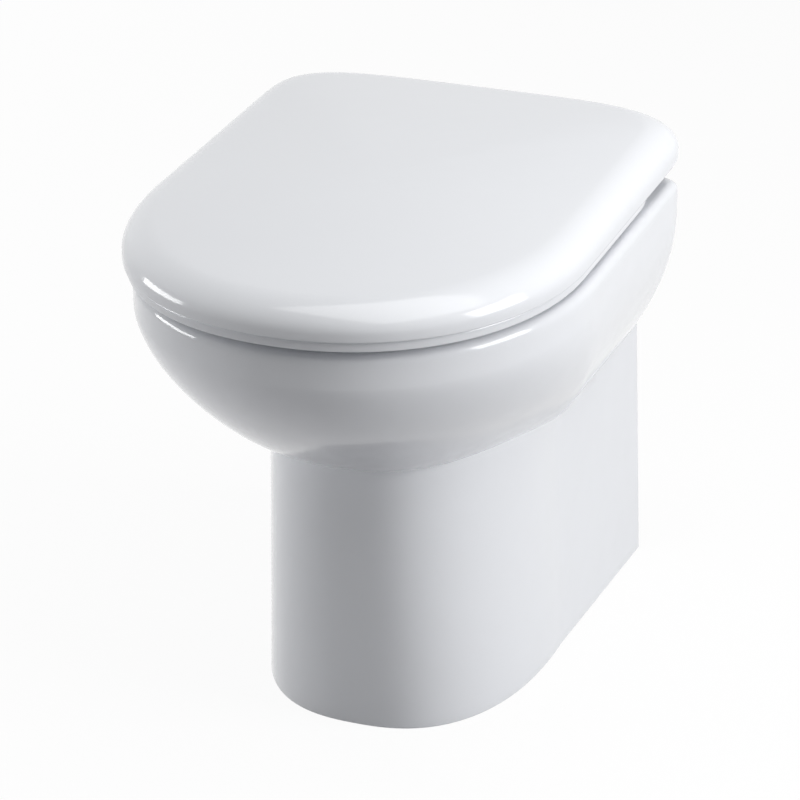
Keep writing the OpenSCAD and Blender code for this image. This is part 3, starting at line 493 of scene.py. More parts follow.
# Finish of each slot: its name; the share of its tint that it drifts to, and how many such
# patches there are in a metre; its metallic, roughness and IOR; and its bumps, each as how many
# there are in a metre and how many micrometres high they are
FINISHES = {
    # Vitreous china under a fired glaze: a glassy coat that flowed, so it waves over 45 mm and is
    # very slightly pitted over 2.4 mm, on a white that drifts over 70 mm
    "china": ("glazed_vitreous_china", (0.985, 14), (0, 0.09, 1.52), [(22, 350), (420, 6)]),
    # Compression moulded urea: a hard, even gloss with a faint flow over 33 mm in it
    "seat_plastic": ("gloss_urea_moulding", (0.99, 9), (0, 0.12, 1.5), [(30, 120)]),
    # Soft pale moulded rubber: dull, with a bloom drawn 1.1 mm wide, coarser than it is so that
    # it shows
    "buffer_rubber": ("pale_buffer_rubber", (0.85, 160), (0, 0.6, 1.5), [(900, 30)]),
    # Black moulded rubber: dull, with the same bloom
    "fixing_rubber": ("black_gasket_rubber", (0.85, 160), (0, 0.6, 1.5), [(900, 30)]),
    # Bright chrome plate over cast zinc, with the soft waves of the casting, 8 mm long
    "hinge_chrome": ("chrome_plated_zinc", (0.96, 60), (1, 0.1, 1.5), [(120, 60)]),
    # Stainless steel bar, turned and pickled: a satin sheen with tool marks drawn 0.7 mm wide,
    # coarser than they are so that they show
    "fixing_steel": ("turned_stainless_steel", (0.9, 220), (1, 0.28, 1.5), [(1500, 20)]),
    # Injection moulded nylon: milky and half dull, with a faint flow over 1.7 mm
    "nut_plastic": ("natural_nylon", (0.95, 90), (0, 0.42, 1.5), [(600, 20)]),
}


def finish_of(slot):
    """The finish of a slot, made once, with each bump laid over the last."""
    name, (drift, patches), settings, bumps = FINISHES[slot]
    if name in bpy.data.materials:
        return bpy.data.materials[name]
    material, tree, shader, place = new_material(name)
    base = tuple(getattr(bpy.context.scene.toilet_finishes, slot))
    noise = {"Scale": patches, "Detail": 2.0}
    spread = add_node(tree, "ShaderNodeTexNoise", noise, {"Vector": place})
    blend = {"data_type": "RGBA", 6: base, 7: (*(drift * c for c in base[:3]), 1)}
    tone = add_node(tree, "ShaderNodeMix", blend, {"Factor": spread.outputs["Fac"]})
    tree.links.new(tone.outputs[2], shader.inputs["Base Color"])
    for key, value in zip(("Metallic", "Roughness", "IOR"), settings):
        shader.inputs[key].default_value = value
    links = {}
    for scale, height in bumps:
        noise = {"Scale": scale, "Detail": 1.0}
        waves = add_node(tree, "ShaderNodeTexNoise", noise, {"Vector": place})
        links["Height"] = waves.outputs["Fac"]
        depth = {"Distance": height * 1e-6, "Strength": 1.0}
        links = {"Normal": add_node(tree, "ShaderNodeBump", depth, links).outputs["Normal"]}
    tree.links.new(links["Normal"], shader.inputs["Normal"])
    return material


def seen_directly(tree):
    """1 for rays from the camera, off a gloss or through something clear, and 0 for the rest."""
    rays = add_node(tree, "ShaderNodeLightPath").outputs
    seen = rays["Is Camera Ray"]
    for other in ("Is Glossy Ray", "Is Transmission Ray"):
        settings = {"operation": "ADD", "use_clamp": True}
        seen = add_node(tree, "ShaderNodeMath", settings, {0: seen, 1: rays[other]}).outputs[0]
    return seen


def blend_surface(tree, output, share, first, second):
    """Feeds an output with two shaders: share of the second and the rest of the first."""
    links = {0: share, 1: first.outputs[0], 2: second.outputs[0]}
    blend = add_node(tree, "ShaderNodeMixShader", links=links)
    tree.links.new(blend.outputs[0], tree.nodes[output].inputs["Surface"])


def studio_floor(finishes):
    """Matt studio paper: white where it is seen, with the object's shadow on it, and a pale grey
    to the light that it throws back up, as a paper with black cloth round it does."""
    material, tree, shader, _ = new_material("studio_floor")
    seen = seen_directly(tree)
    tones = {"data_type": "RGBA", 6: tuple(finishes.floor), 7: WHITE}
    paper = add_node(tree, "ShaderNodeMix", tones, {"Factor": seen})
    tree.links.new(paper.outputs[2], shader.inputs["Base Color"])
    shader.inputs["Roughness"].default_value = 0.9
    white = add_node(tree, "ShaderNodeEmission", {"Color": WHITE, "Strength": 1.0})
    share = {"operation": "MULTIPLY", 1: finishes.glow}
    glow = add_node(tree, "ShaderNodeMath", share, {0: seen})
    blend_surface(tree, "Material Output", glow.outputs[0], shader, white)
    return material


# ---------- pan


def pan_half(w, ws, widest, front, n, bs, bw, step, depth, end=0.0):
    """Right half of the outside of the pan, one level per row, as x and distance from the wall:
    a superellipse from the front to the widest line w, a straight side to the shoulder ws, a
    rounded corner, a face that steps in, a cove to the back bs, and on to bw at the end."""
    # Shares of the step's width in its corner and its cove, of its depth in its corner, and the
    # lean of its face
    edge, cove, deep_edge, lean = 0.2, 0.3, 0.4, 0.03
    t = np.linspace(0, np.pi / 2, ARC)[None]
    s = np.linspace(0, 1, SIDE + 1)[None, 1:]
    turn = np.linspace(0, np.pi / 2, CORNER + 1)[None, 1:]
    start, whole = step + depth, depth / deep_edge
    face = np.linspace(1 - edge, cove, FACE + 2)[None, 1:-1]
    inward = np.hstack([1 - edge * (1 - np.cos(turn)), face, cove * (1 - np.sin(turn))])
    rest = deep_edge + (1 - deep_edge) * (1 - np.cos(turn))
    deep = np.hstack([deep_edge * np.sin(turn), deep_edge + 0 * face, rest])
    d_step = start - whole * (deep + lean * (1 - inward))
    d_back = mix(start - whole, end, np.linspace(0, 1, BACK + 1)[None, 1:])
    x = [
        w * sin_power(t, n),
        mix(w, ws, s),
        mix(bw, bs, d_step / start) + (ws - bs) * inward,
        mix(bw, bs, d_back / start),
        bw * (1 - np.linspace(0, 1, WALL_LINE + 1)[None, 1:]),
    ]
    d = [
        mix(widest, front, cos_power(t, n)),
        mix(widest, start, s),
        d_step,
        d_back,
        np.full((1, WALL_LINE), end),
    ]
    return np.hstack([part + 0 * w for part in x]), np.hstack([part + 0 * w for part in d])


def frontness():
    """Share of the front's height that each point of the half outline has: half a cosine wave of
    the root of cos t, 1 at the front centre and 0 from the widest line on."""
    t = np.linspace(0, np.pi / 2, ARC)
    front = 0.5 - 0.5 * np.cos(np.pi * np.sqrt(np.maximum(np.cos(t), 0)))
    return np.concatenate([front, np.zeros(HALF - ARC)])[None]


def pedestal_rings(p, t, inset, end=0.0):
    """Levels of the pedestal, t from 0 at the floor to 1 at the crease, drawn in by inset."""
    w = mix(p.foot_wide, p.crease_wide, t) / 2 - inset
    bw = mix(p.foot_back, p.crease_back, t) / 2 - inset
    ws = mix(bw, w, (p.shoulder + p.corner_depth) / p.foot_curve)
    front = mix(p.foot_front, p.crease_front, t) - inset
    step = p.shoulder + inset
    x, d = pan_half(w, ws, p.foot_curve, front, p.foot_fullness, ws, bw, step, p.corner_depth, end)
    return x, d, mix(p.crease_low, p.crease_high, frontness())


def flare_rings(p, a, inset=0.0, end=0.0):
    """Levels of the bowl's underside, a from 0 at the crease to a right angle at full width,
    drawn in by inset. Widths grow with powers of sin a, heights with 1 less powers of cos a.
    Where they are drawn in, they stop under the deck."""
    side, fore = np.sin(a) ** SIDE_FLARE, np.sin(a) ** FRONT_FLARE
    side_rise, fore_rise = 1 - np.cos(a), 1 - np.maximum(np.cos(a), 0) ** FRONT_RISE
    waist = mix(p.crease_back, p.crease_wide, (p.shoulder + p.corner_depth) / p.foot_curve) / 2
    x, d = pan_half(
        mix(p.crease_wide, p.width, side) / 2 - inset,
        mix(waist, p.width / 2, side) - inset,
        mix(p.foot_curve, p.widest, fore),
        mix(p.crease_front, p.front, fore) - inset,
        mix(p.foot_fullness, p.fullness, fore),
        mix(waist, p.back_width / 2, side_rise) - inset,
        mix(p.crease_back, p.back_width, side_rise) / 2 - inset,
        p.shoulder + inset,
        p.corner_depth,
        end,
    )
    side_z = mix(p.crease_low, p.full_height, side_rise)
    z = mix(side_z, mix(p.crease_high, p.full_height, fore_rise), frontness())
    return rings_at(x, d, np.minimum(z + inset, p.rim_height - p.deck) if inset else z)


def rim_rings(p, z, inset):
    """Levels of the rim at heights z, drawn in by inset."""
    w, b, step = p.width / 2 - inset, p.back_width / 2 - inset, p.shoulder + inset
    x, d = pan_half(w, w, p.widest, p.front - inset, p.fullness, b, b, step, p.corner_depth)
    return rings_at(x, d, z)


def egg_rings(w, widest, front, back, ahead, behind, z, count):
    """Levels of an egg with count points a side: two half superellipses of fullness ahead and
    behind that meet at the widest line."""
    a = np.linspace(0, np.pi, count)[None]
    fore = a <= np.pi / 2
    x = np.where(fore, w * sin_power(a, ahead), w * sin_power(np.pi - a, behind))
    d_fore = mix(widest, front, cos_power(a, ahead))
    d = np.where(fore, d_fore, mix(widest, back, cos_power(np.pi - a, behind)))
    return rings_at(x, d, z)


def bowl_rings(w, front, back, n, z):
    """Levels of the inside of the bowl, with as many points round as the outside has."""
    widest = mix(back, front, BOWL_WIDEST)
    return egg_rings(w, widest, front, back, n, n + BOWL_BACK, z, HALF)


def opening_rings(p, grow, z):
    """The opening in the rim drawn outwards by grow, at heights z."""
    front, back = p.opening_front + grow, p.opening_back - grow
    return bowl_rings(p.opening_width / 2 + grow, front, back, OPENING_FULLNESS, z)


def bowl_levels(p, a, wall):
    """Levels of the bowl, a from 0 on its floor to a right angle at the flush channel, moved
    outwards and down by wall. Widths grow with a power of sin a, heights with one of cos a."""
    s, rise = np.sin(a) ** FRONT_FLARE, 1 - np.maximum(np.cos(a), 0) ** FRONT_RISE
    r, grow = p.sump_radius, p.lip + p.channel
    return bowl_rings(
        mix(r, p.opening_width / 2 + grow, s) + wall,
        mix(p.sump_centre + r, p.opening_front + grow, s) + wall,
        mix(p.sump_centre - r, p.opening_back - grow, s) - wall,
        mix(2, OPENING_FULLNESS, s),
        mix(p.bowl_floor, p.rim_height - p.lip_height - p.channel_drop, rise) - wall,
    )


def pan_body(p):
    """The whole casting as one closed skin: foot, pedestal, crease, bowl, rim, lip, open flush
    channel, inside of the bowl and sump."""
    turn = np.linspace(0, np.pi / 2, EDGE)
    x0, d0, _ = pedestal_rings(p, column(0 * turn), column(p.foot_edge * (1 - np.sin(turn))))
    foot = rings_at(x0, d0, column(p.foot_edge * (1 - np.cos(turn))))
    t = column(np.linspace(0, 1, PEDESTAL)[1:])
    x1, d1, top = pedestal_rings(p, t, 0 * t)
    pedestal = rings_at(x1, d1, p.foot_edge + t * (top - p.foot_edge))
    flare = flare_rings(p, column(np.linspace(0, np.pi / 2, FLARE)[1:]))
    edge = p.rim_height - p.rim_edge
    z = column(np.linspace(p.full_height, edge, UPRIGHT)[1:])
    upright = rim_rings(p, z, 0 * z)
    z = column(edge + p.rim_edge * np.sin(turn[1:]))
    roll = rim_rings(p, z, column(p.rim_edge * (1 - np.cos(turn[1:]))))
    return np.concatenate([foot, pedestal, flare, upright, roll, pan_inside(p)])


def pan_inside(p):
    """From the flat rim over the lip, up behind it into the flush channel and down the bowl."""
    lip_z, roof_z = p.rim_height - p.lip_height, p.rim_height - p.roof
    grow = p.lip + p.channel
    # Roundings of the rim's inner edge, the lip and the channel
    brim, nose, cove = 0.005, 0.0038, 0.004
    rim = [(brim + SPARE, p.rim_height), (0, p.rim_height)]
    lip = [(0, lip_z), (p.lip, lip_z), (p.lip, roof_z)]
    channel = [(grow, roof_z), (grow, lip_z - p.channel_drop)]
    section = rounded(rim + lip + channel, [brim, nose, nose, cove, cove])
    lip = opening_rings(p, section[:, :1], section[:, 1:])
    bowl = bowl_levels(p, column(np.linspace(np.pi / 2, 0, BOWL)[1:]), 0)
    # Flat share of the sump's radius, and how far its rounding stands over the trapway
    flat, over = 0.75, 0.004
    b = column(np.linspace(0, np.pi / 2, SUMP))
    pit = p.sump_radius * (flat + (1 - flat) * np.cos(b))
    z = p.sump_bottom + (bpy.context.scene.toilet_pipes.trap + over) * (1 - np.sin(b))
    sump = bowl_rings(pit, p.sump_centre + pit, p.sump_centre - pit, 2, z)
    return np.concatenate([lip, bowl, sump])


def trap_path(p, q):
    """Centre line of the trapway as distance, height and direction: along the bottom of the
    sump, a quarter turn up behind it, round over the weir, and straight down to the outlet."""
    bend = q.trap + q.trap_wall + SPARE
    up_leg = p.sump_centre - p.sump_radius - q.trap_wall - q.trap
    low = p.sump_bottom + q.trap + SPARE
    a = np.linspace(0, np.pi / 2, UP_STEPS)
    b = np.linspace(0, math.radians(WEIR_TURN), OVER_STEPS)
    rise = up_leg + bend - bend * np.sin(a), low + bend - bend * np.cos(a), np.pi - a
    over = up_leg - bend + bend * np.cos(b), q.weir - bend + bend * np.sin(b), np.pi / 2 + b
    d, z, direction = (part[-1] for part in over)
    end = d - (z - q.outlet_height) * math.tan(math.radians(180 - WEIR_TURN))
    turns = [np.stack(part, -1) for part in (rise, over)]
    return np.vstack([(p.sump_centre, low, np.pi), *turns, (end, q.outlet_height, direction)])


def inside_space(p):
    """The inside of the outer skin, open at the wall and on the floor."""
    x, d, _ = pedestal_rings(p, column(0), p.china, -SPARE)
    flare = flare_rings(p, column(np.linspace(0, np.pi / 2, INSIDE)), p.china, -SPARE)
    return skin("inside_space", np.concatenate([rings_at(x, d, -SPARE), flare]))


def bowl_block(p):
    """The bowl and flush channel with their wall, as a solid block."""
    levels = bowl_levels(p, column(np.linspace(0, np.pi / 2, INSIDE)), p.china)
    top = opening_rings(p, column(p.lip + p.channel + p.china), p.rim_height + SPARE)
    return skin("bowl_block", np.concatenate([levels, top]))


def fixing_lug(p, q, side):
    """Lug on the floor that carries a fixing hole, run into the side wall."""
    reach = q.lug_hole + q.lug_margin
    x0, x1 = sorted((side * (q.lug_spacing / 2 - reach), side * p.foot_back / 2))
    y0, y1 = WALL - q.lug_distance - reach, WALL - q.lug_distance + reach
    outline = [(x0, y0), (x1, y0), (x1, y1), (x0, y1)]
    return prism("lug", outline, -2 * SPARE, q.lug_height)


def outlet_spigot(q):
    """Straight spigot of the outlet, still solid, its mouth rounded."""
    long, middle, mouth = q.outlet_length + SPARE, SPARE, 0.002
    profile = [(middle, 0), (q.outlet, 0), (q.outlet, long), (middle, long)]
    place = (0, WALL - q.outlet_setback, q.outlet_height)
    return lathe("spigot", rounded(profile, [mouth, SPARE / 10]), place, (0, -1, 0))


def service_space(p, q, path, chamber_end):
    """The hollow of the casting: the inside of its skin, less the bowl, the sump, the trapway,
    the chamber before the outlet, the boss of the inlet and the lugs, each with its wall."""
    sump, outlet = p.sump_radius + q.trap_wall, q.outlet + q.collar
    low, near = p.sump_bottom - q.trap_wall, q.outlet_setback + q.outlet_length
    far, inlet = chamber_end + q.outlet_wall, q.inlet + q.inlet_wall
    china = [
        bowl_block(p),
        upright_bar("sump", sump, 0, WALL - p.sump_centre, low, p.bowl_floor),
        tube("trap_outside", path, q.trap + q.trap_wall),
        level_bar("chamber", outlet, near, far, q.outlet_height),
        level_bar("boss", inlet, q.inlet_setback, p.opening_back, q.inlet_height),
        *[fixing_lug(p, q, side) for side in SIDES],
    ]
    return combine(inside_space(p), china, "DIFFERENCE")


def round_holes(p, q, chamber_end):
    """Bars for the bore of the outlet, the inlet and its passage to the bowl, and the holes for
    the seat studs and the floor screws."""
    near, mouth = q.outlet_setback - SPARE, q.inlet_setback
    socket_end, passage_end = mouth + q.inlet_depth, p.opening_back - p.lip - SPARE
    holes = [
        level_bar("bore", q.outlet - q.outlet_wall, near, chamber_end, q.outlet_height),
        level_bar("inlet", q.inlet, mouth - SPARE, socket_end, q.inlet_height),
        level_bar("passage", q.passage, mouth, passage_end, q.inlet_height),
    ]
    stud_x, stud_y = ((STUD_LOW[i] + STUD_HIGH[i]) / 2 for i in (0, 1))
    under, over = p.rim_height - p.deck - SPARE, p.rim_height + SPARE
    lug_x, lug_y, lug_top = q.lug_spacing / 2, WALL - q.lug_distance, q.lug_height + SPARE
    for side in SIDES:
        holes += [
            upright_bar("deck_hole", q.seat_hole, side * stud_x, stud_y, under, over),
            upright_bar("lug_hole", q.lug_hole, side * lug_x, lug_y, -3 * SPARE, lug_top),
        ]
    return holes


class TOILET_OT_pan(bpy.types.Operator):
    """Adds the china pan with its bowl, trapway, outlet and service space"""

    bl_idname = "toilet.pan"
    bl_label = "Add Pan"

    def execute(self, context):
        p, q = context.scene.toilet_pan, context.scene.toilet_pipes
        body = skin("pan_glazed", pan_body(p))
        path = trap_path(p, q)
        chamber_end = path[-1, 0] + q.trap + 2 * SPARE
        space = service_space(p, q, path, chamber_end)
        combine(body, [space, tube("trap_inside", path, q.trap)], "DIFFERENCE")
        combine(body, [outlet_spigot(q)], "UNION")
        combine(body, round_holes(p, q, chamber_end), "DIFFERENCE")
        without_folds(body)
        finish_piece(body, "pan_glazed", "root", "china", ["pan"], sharp=28)
        return {"FINISHED"}


# ---------- seat and cover


def cover_outline(c, inset, back, z):
    """Levels of the outline of the cover or the seat, drawn in by inset: half a superellipse in
    front, a straight side, and a squarer half superellipse round each back corner."""
    w = c.width / 2 - inset
    t = np.linspace(0, np.pi / 2, COVER_FRONT + 1)[None]
    s = np.linspace(0, 1, COVER_SIDE + 1)[None, 1:]
    u = np.linspace(np.pi / 2, 0, COVER_CORNER + 1)[None, 1:]
    corner = back + c.corner
    x = [w * sin_power(t, c.fullness), w + 0 * s, w * sin_power(u, c.squareness)]
    d = [
        mix(c.widest, c.front - inset, cos_power(t, c.fullness)),
        mix(c.widest, corner, s),
        mix(corner, back, cos_power(u, c.squareness)),
    ]
    return rings_at(np.hstack(x), np.hstack([part + 0 * w for part in d]), z)


def rise_at(c, y):
    """How much higher the top of the cover is at y than at its front: it grows evenly."""
    return c.rise * (c.front - WALL + y) / (c.front - c.back)


def raised(c, rings):
    """Levels raised towards the back, in proportion to their height over the lower edge."""
    share = (rings[..., 2] - c.skirt) / (c.upright + c.roll_height)
    lift = rise_at(c, rings[..., 1]) * share
    return rings + lift[..., None] * np.array([0, 0, 1])


def cover_rings(c, inset, z):
    """Levels of the cover's outline, drawn in by inset."""
    return raised(c, cover_outline(c, inset, c.back + inset, z))


def crowned(c, base, s, z):
    """Levels of a crowned face: the outline shrunk to s about the crown's centre and raised by
    the crown times 1 less the square of s."""
    middle = np.array([0, WALL - c.centre, 0])
    flat = (base[0] - middle) * s[:, :, None] * np.array([1, 1, 0]) + middle
    return flat + np.array([0, 0, 1]) * (z + c.crown * (1 - s**2))[:, :, None]


def cover_shell(c):
    """The cover as one closed skin: ceiling, inner wall, lower edge, rolled edge and top. The
    rolled edge leans as the crown does where they meet."""
    # How far the inner roll reaches past the outer one, the rounding of the lower edge, and the
    # share of the outline at which the crown ends in a flat cap
    tuck, lip_edge, hub = 0.002, 0.0015, 0.02
    lean = 2 * c.crown / (c.width / 2 - c.roll_width)
    roll = c.skirt + c.upright
    top_z, low = roll + c.roll_height, roll - tuck
    ceiling, inner_run = top_z - c.wall, c.roll_width + tuck
    turn = np.linspace(0, np.pi / 2, ROLL)
    inset = c.roll_width * (1 - np.cos(turn))
    z = column(roll + c.roll_height * np.sin(turn) + lean * inset)
    outer = cover_rings(c, column(inset), z)
    edge = cover_outline(c, column(c.roll_width), c.back + c.roll_width, 0)
    shrink = column(np.linspace(1, hub, CROWN)[1:])
    top = raised(c, crowned(c, edge, shrink, top_z + lean * c.roll_width))
    turn = turn[::-1]
    inset = c.wall + (inner_run - c.wall) * (1 - np.cos(turn))
    z = column(low + (ceiling - low) * np.sin(turn) + lean * (inset - c.wall))
    inner = cover_rings(c, column(inset), z)
    edge = cover_outline(c, column(inner_run), c.back + inner_run, 0)
    under = raised(c, crowned(c, edge, shrink[::-1], ceiling + lean * c.roll_width))
    lip = rounded([(c.wall, low), (c.wall, c.skirt), (0, c.skirt), (0, roll)], [lip_edge] * 2)
    skirt = cover_rings(c, lip[1:-1, :1], lip[1:-1, 1:])
    return skin("cover_shell", np.concatenate([under, inner, skirt, outer, top]))


def slab(name, low, high, edge=0.002):
    """Block between two corners, its upright edges rounded."""
    (x0, y0, z0), (x1, y1, z1) = low, high
    r = min(edge, (x1 - x0) / 3, (y1 - y0) / 3)
    middle = ((x0 + x1) / 2, y0)
    outline = rounded([middle, (x1, y0), (x1, y1), (x0, y1), (x0, y0), middle], [r] * 4)
    return prism(name, outline[:-1], z0, z1)


def pair_boxes(name):
    """Boxes of the right and the left node of a pair, each as its two corners."""
    return [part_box(name + side) for side in ("_right", "_left")]


def buffer_places(node, apart=0.03):
    """Middle of each buffer of a node. Where a side's buffers reach over more than apart, there
    are two of them."""
    co = places_of(frame["nodes"][node].data)
    places = []
    for sx in SIDES:
        side = co[co[:, 0] * sx > 0]
        low, high = side[:, 1].min(), side[:, 1].max()
        ahead = side[:, 1] < (low + high) / 2
        groups = [side[ahead], side[~ahead]] if high - low > apart else [side]
        places += [(g.min(0) + g.max(0)) / 2 for g in groups]
    return places


class TOILET_OT_cover(bpy.types.Operator):
    """Adds the wrap-over cover as a moulded shell"""

    bl_idname = "toilet.cover"
    bl_label = "Add Cover"

    def execute(self, context):
        c = context.scene.toilet_seat
        shell = cover_shell(c)
        top = c.skirt + c.upright + c.roll_height
        pads = []
        for low, high in pair_boxes("cover_hinge_arm"):
            corner = (high.x, low.y + c.pad_length, top + rise_at(c, low.y))
            pads.append(slab("pad", (low.x, low.y, AXIS.z + c.plate / 2), corner))
        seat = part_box("cover_buffers")[1].z
        for x, y, _ in buffer_places("cover_buffers"):
            pads.append(upright_bar("boss", c.boss, x, y, seat, top + rise_at(c, y)))
        combine(shell, pads, "UNION")
        notches = []
        back = WALL - c.back + SPARE
        for low, high in pair_boxes("hinge_post"):
            x = (low.x + high.x) / 2
            for half, front, base, roof in (
                (c.notch_half, -c.notch_front, c.skirt - SPARE, AXIS.z + c.notch_top),
                (c.slot_half, c.slot_front, AXIS.z, COVER_HIGH.z),
            ):
                corner = (x - half, AXIS.y + front, base)
                notches.append(slab("notch", corner, (x + half, back, roof)))
        combine(shell, notches, "DIFFERENCE")
        finish_piece(shell, "cover_moulding", "cover", "seat_plastic", ["cover"], sharp=30)
        return {"FINISHED"}


def seat_shell(c):
    """The seat ring as one closed skin: its section, given as a run in from the outer outline or,
    if negative, out from the hole, is carried round between the two outlines."""
    outer = cover_outline(c, column(c.ring_inset), c.ring_back, 0)[0]
    across, along = c.hole_width / 2, (c.hole_widest, c.hole_front, c.hole_back)
    hole = egg_rings(column(across), *along, *HOLE_FULLNESS, 0, EGG_HALF + 1)[0]
    low, high = c.ring_low, c.ring_high
    band, under = low + c.band, low + c.hollow
    start = (0.010, low)
    # Corners of the section and their roundings: up the outer band, over its ledge and up to the
    # top, then down the slope of the hole and in under the hollow
    band_side = [start, (0, low), (0, band), (0.009, band + 0.0004)]
    top_edge = [(0.0105, high - 0.004), (0.017, high), (0.022, high)]
    section = rounded(band_side + top_edge, [0.0014, 0.0028, 0.002, 0.0025, 0.003])
    slope = [(-0.022, high), (-0.018, high), (-0.006, high - 0.002), (0, high - 0.010)]
    inner_foot = [(-0.0004, low), (-0.009, low), (-0.011, under), (-0.020, under)]
    inner = rounded(slope + inner_foot, [0.003, 0.005, 0.005, 0.0015, 0.001, 0.001])
    close = rounded([(0.016, under), (0.012, under), start, (0.009, low)], [0.001, 0.0005])[:-1]
    runs = np.concatenate([section, inner, close])
    s, z = runs[:, :1], runs[:, 1:]
    gap = np.linalg.norm(hole - outer, axis=1)[None]
    share = np.where(s < 0, (gap + s) / gap, s / gap)
    rings = outer[None] + (hole - outer)[None] * share[:, :, None]
    rings[:, :, 2] = z
    return skin("seat_shell", rings, endless=True)


class TOILET_OT_seat(bpy.types.Operator):
    """Adds the seat ring with its stepped band and hollow underside"""

    bl_idname = "toilet.seat"
    bl_label = "Add Seat Ring"

    def execute(self, context):
        c = context.scene.toilet_seat
        ring = seat_shell(c)
        # Room that the pads leave to the hole and the back, and the radius of the bosses
        hole_room, back_room, boss = 0.008, 0.006, 0.009
        low, high = c.ring_low, c.ring_low + c.hollow + SPARE
        y0, y1 = WALL - c.hole_back + hole_room, WALL - c.ring_back - back_room
        pads = [
            slab("pad", (start.x, y0, low), (end.x, y1, high))
            for start, end in pair_boxes("seat_hinge_arm")
        ]
        for name in ("seat_buffers_front", "seat_buffers_rear"):
            for x, y, _ in buffer_places(name):
                pads.append(upright_bar("boss", boss, x, y, low, high))
        combine(ring, pads, "UNION")
        finish_piece(ring, "seat_moulding", "seat", "seat_plastic", ["seat_ring"], sharp=30)
        return {"FINISHED"}


# ---------- small parts


def dress_node(node, slot):
    """Replaces a node by a merged copy whose sharp edges are softened by a small bevel."""
    source = frame["nodes"][node]
    name, body = node + "_finished", source["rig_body"]
    piece = new_object(name, source.data.copy())
    clean_mesh(
        piece.data,
        MERGE,
        lambda m: bmesh.ops.dissolve_limit(
            m, angle_limit=math.radians(FLAT), verts=m.verts, edges=m.edges
        ),
    )
    soften = piece.modifiers.new("soften", "BEVEL")
    soften.width = SOFT_EDGE
    soften.segments = 2
    soften.limit_method = "ANGLE"
    soften.angle_limit = math.radians(SHARP)
    finish_piece(piece, name, body, slot, [node], SHARP)


class TOILET_OT_small_parts(bpy.types.Operator):
    """Adds the hinges, buffers, bushes and fixings"""

    bl_idname = "toilet.small_parts"
    bl_label = "Add Hinges and Fixings"

    def execute(self, context):
        for entry in frame["record"]["subparts"]:
            if entry["node"] not in ("pan", "seat_ring", "cover"):
                dress_node(entry["node"], entry["material_slot"])
        return {"FINISHED"}


# ---------- studio


class Studio(bpy.types.PropertyGroup):
    """Camera and lights"""

    azimuth: angle("Azimuth", "Camera to the right of the front", 20.31)
    elevation: angle("Elevation", "Camera above the level", 25.43)
    distance: length("Distance", "From the camera to the point it looks at", 2.8)
    look_height: length("Look height", "Height of the point that the camera looks at", 0.210)
    look_distance: length("Look distance", "Distance of that point from the wall", 0.260)
    lens: number("Lens", "Focal length in millimetres on a 36 mm frame", 153.72)
    shift_x: number("Shift across", "Shift of the frame, as a share of its width", -0.00585)
    shift_y: number("Shift up", "Shift of the frame, as a share of its width", 0.0404)
    key: number("Key", "Power of the large soft light on the right, in watts", 40.0)
    top: number("Top", "Power of the overhead light, in watts", 32.0)
    fill: number("Fill", "Power of the low soft light on the left, in watts", 23.0)
    back: number("Back", "Power of the soft light behind the object, in watts", 14.0)
    ambient: number("Ambient", "Strength of the even light of the room", 0.11)
    floor: length("Floor", "Half the side of the floor", 12.0)


# Each lamp's place, the height on the middle line that it is turned to, and its two sides
LAMPS = {
    "key": ((2.5, 0.1, 1.1), 0.25, (1.3, 1.3)),
    "top": ((0.6, -0.3, 2.35), 0.3, (2.0, 2.4)),
    "fill": ((-2.45, -0.55, 0.5), 0.25, (1.4, 0.7)),
    "back": ((-2.0, 1.8, 1.0), 0.25, (1.4, 1.4)),
}


def soft_light(name, power):
    """Rectangular lamp of a power in watts. The one behind shows in no gloss, where it would be
    a bright patch on the rim of the cover."""
    place, height, sides = LAMPS[name]
    lamp = bpy.data.lights.new(name, "AREA")
    lamp.shape = "RECTANGLE"
    lamp.size, lamp.size_y = sides
    lamp.energy = power
    made = new_object(name, lamp)
    made.visible_glossy = name != "back"
    made.location = place
    aim = Vector((0, 0, height)) - made.location
    made.rotation_euler = aim.to_track_quat("-Z", "Y").to_euler()


def white_surround(strength):
    """White to the camera and in reflections, and an even grey light to the rest."""
    world = bpy.data.worlds.new("surround")
    bpy.context.scene.world = world
    world.use_nodes = True
    tree = world.node_tree
    room = tree.nodes["Background"]
    room.inputs["Color"].default_value = WHITE
    room.inputs["Strength"].default_value = strength
    white = add_node(tree, "ShaderNodeBackground", {"Color": WHITE, "Strength": 1.0})
    blend_surface(tree, "World Output", seen_directly(tree), room, white)


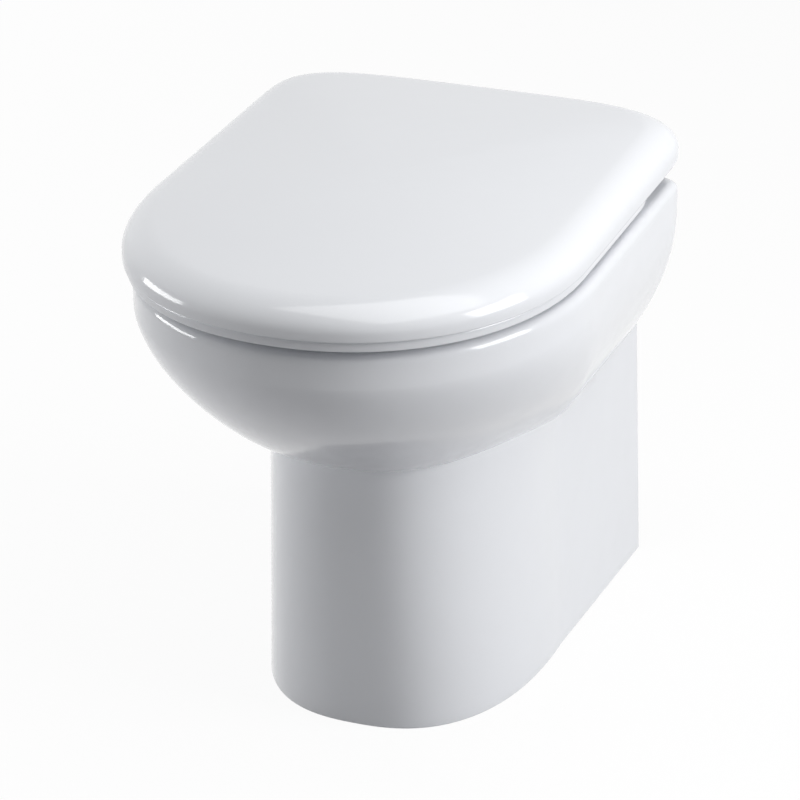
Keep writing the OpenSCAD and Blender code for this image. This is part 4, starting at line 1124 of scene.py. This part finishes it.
class TOILET_OT_studio(bpy.types.Operator):
    """Adds the camera, the floor, the lights and the white surround"""

    bl_idname = "toilet.studio"
    bl_label = "Add Studio"

    def execute(self, context):
        s = context.scene.toilet_studio
        look = Vector((0, WALL - s.look_distance, s.look_height))
        level = math.cos(s.elevation)
        back = Vector(
            (math.sin(s.azimuth) * level, -math.cos(s.azimuth) * level, math.sin(s.elevation))
        )
        lens = bpy.data.cameras.new("camera")
        lens.lens = s.lens
        lens.sensor_width = 36
        lens.shift_x, lens.shift_y = s.shift_x, s.shift_y
        lens.clip_end = 60
        camera = new_object("camera", lens)
        camera.location = look + s.distance * back
        camera.rotation_euler = (-back).to_track_quat("-Z", "Y").to_euler()
        context.scene.camera = camera
        for name in LAMPS:
            soft_light(name, getattr(s, name))
        corners = np.array([(-1, -1, 0), (1, -1, 0), (1, 1, 0), (-1, 1, 0)])
        floor = mesh_object("floor", corners * s.floor, [(0, 1, 2, 3)])
        floor.data.materials.append(studio_floor(context.scene.toilet_finishes))
        white_surround(s.ambient)
        context.scene.view_settings.view_transform = "Standard"
        return {"FINISHED"}


# ---------- add-on


class TOILET_PT_sidebar(bpy.types.Panel):
    """Lists what can be added"""

    bl_label = "Toilet"
    bl_idname = "TOILET_PT_sidebar"
    bl_space_type = "VIEW_3D"
    bl_region_type = "UI"
    bl_category = "Toilet"

    def draw(self, context):
        for step in STEPS:
            self.layout.operator(step.bl_idname)


GROUPS = {
    "toilet_pan": PanSizes,
    "toilet_pipes": PipeSizes,
    "toilet_seat": SeatSizes,
    "toilet_finishes": Finishes,
    "toilet_studio": Studio,
}
STEPS = (TOILET_OT_pan, TOILET_OT_seat, TOILET_OT_cover, TOILET_OT_small_parts, TOILET_OT_studio)
KINDS = (*GROUPS.values(), *STEPS, TOILET_PT_sidebar)


def register():
    """Registers the classes and hangs the groups of settings on the scene."""
    for kind in KINDS:
        bpy.utils.register_class(kind)
    for name, kind in GROUPS.items():
        setattr(bpy.types.Scene, name, bpy.props.PointerProperty(type=kind))


def unregister():
    """Takes back what register did."""
    for name in GROUPS:
        delattr(bpy.types.Scene, name)
    for kind in KINDS:
        bpy.utils.unregister_class(kind)


def main():
    """Adds every piece and the studio."""
    register()
    bpy.ops.toilet.pan()
    bpy.ops.toilet.seat()
    bpy.ops.toilet.cover()
    bpy.ops.toilet.small_parts()
    bpy.ops.toilet.studio()


if __name__ == "__main__":
    main()
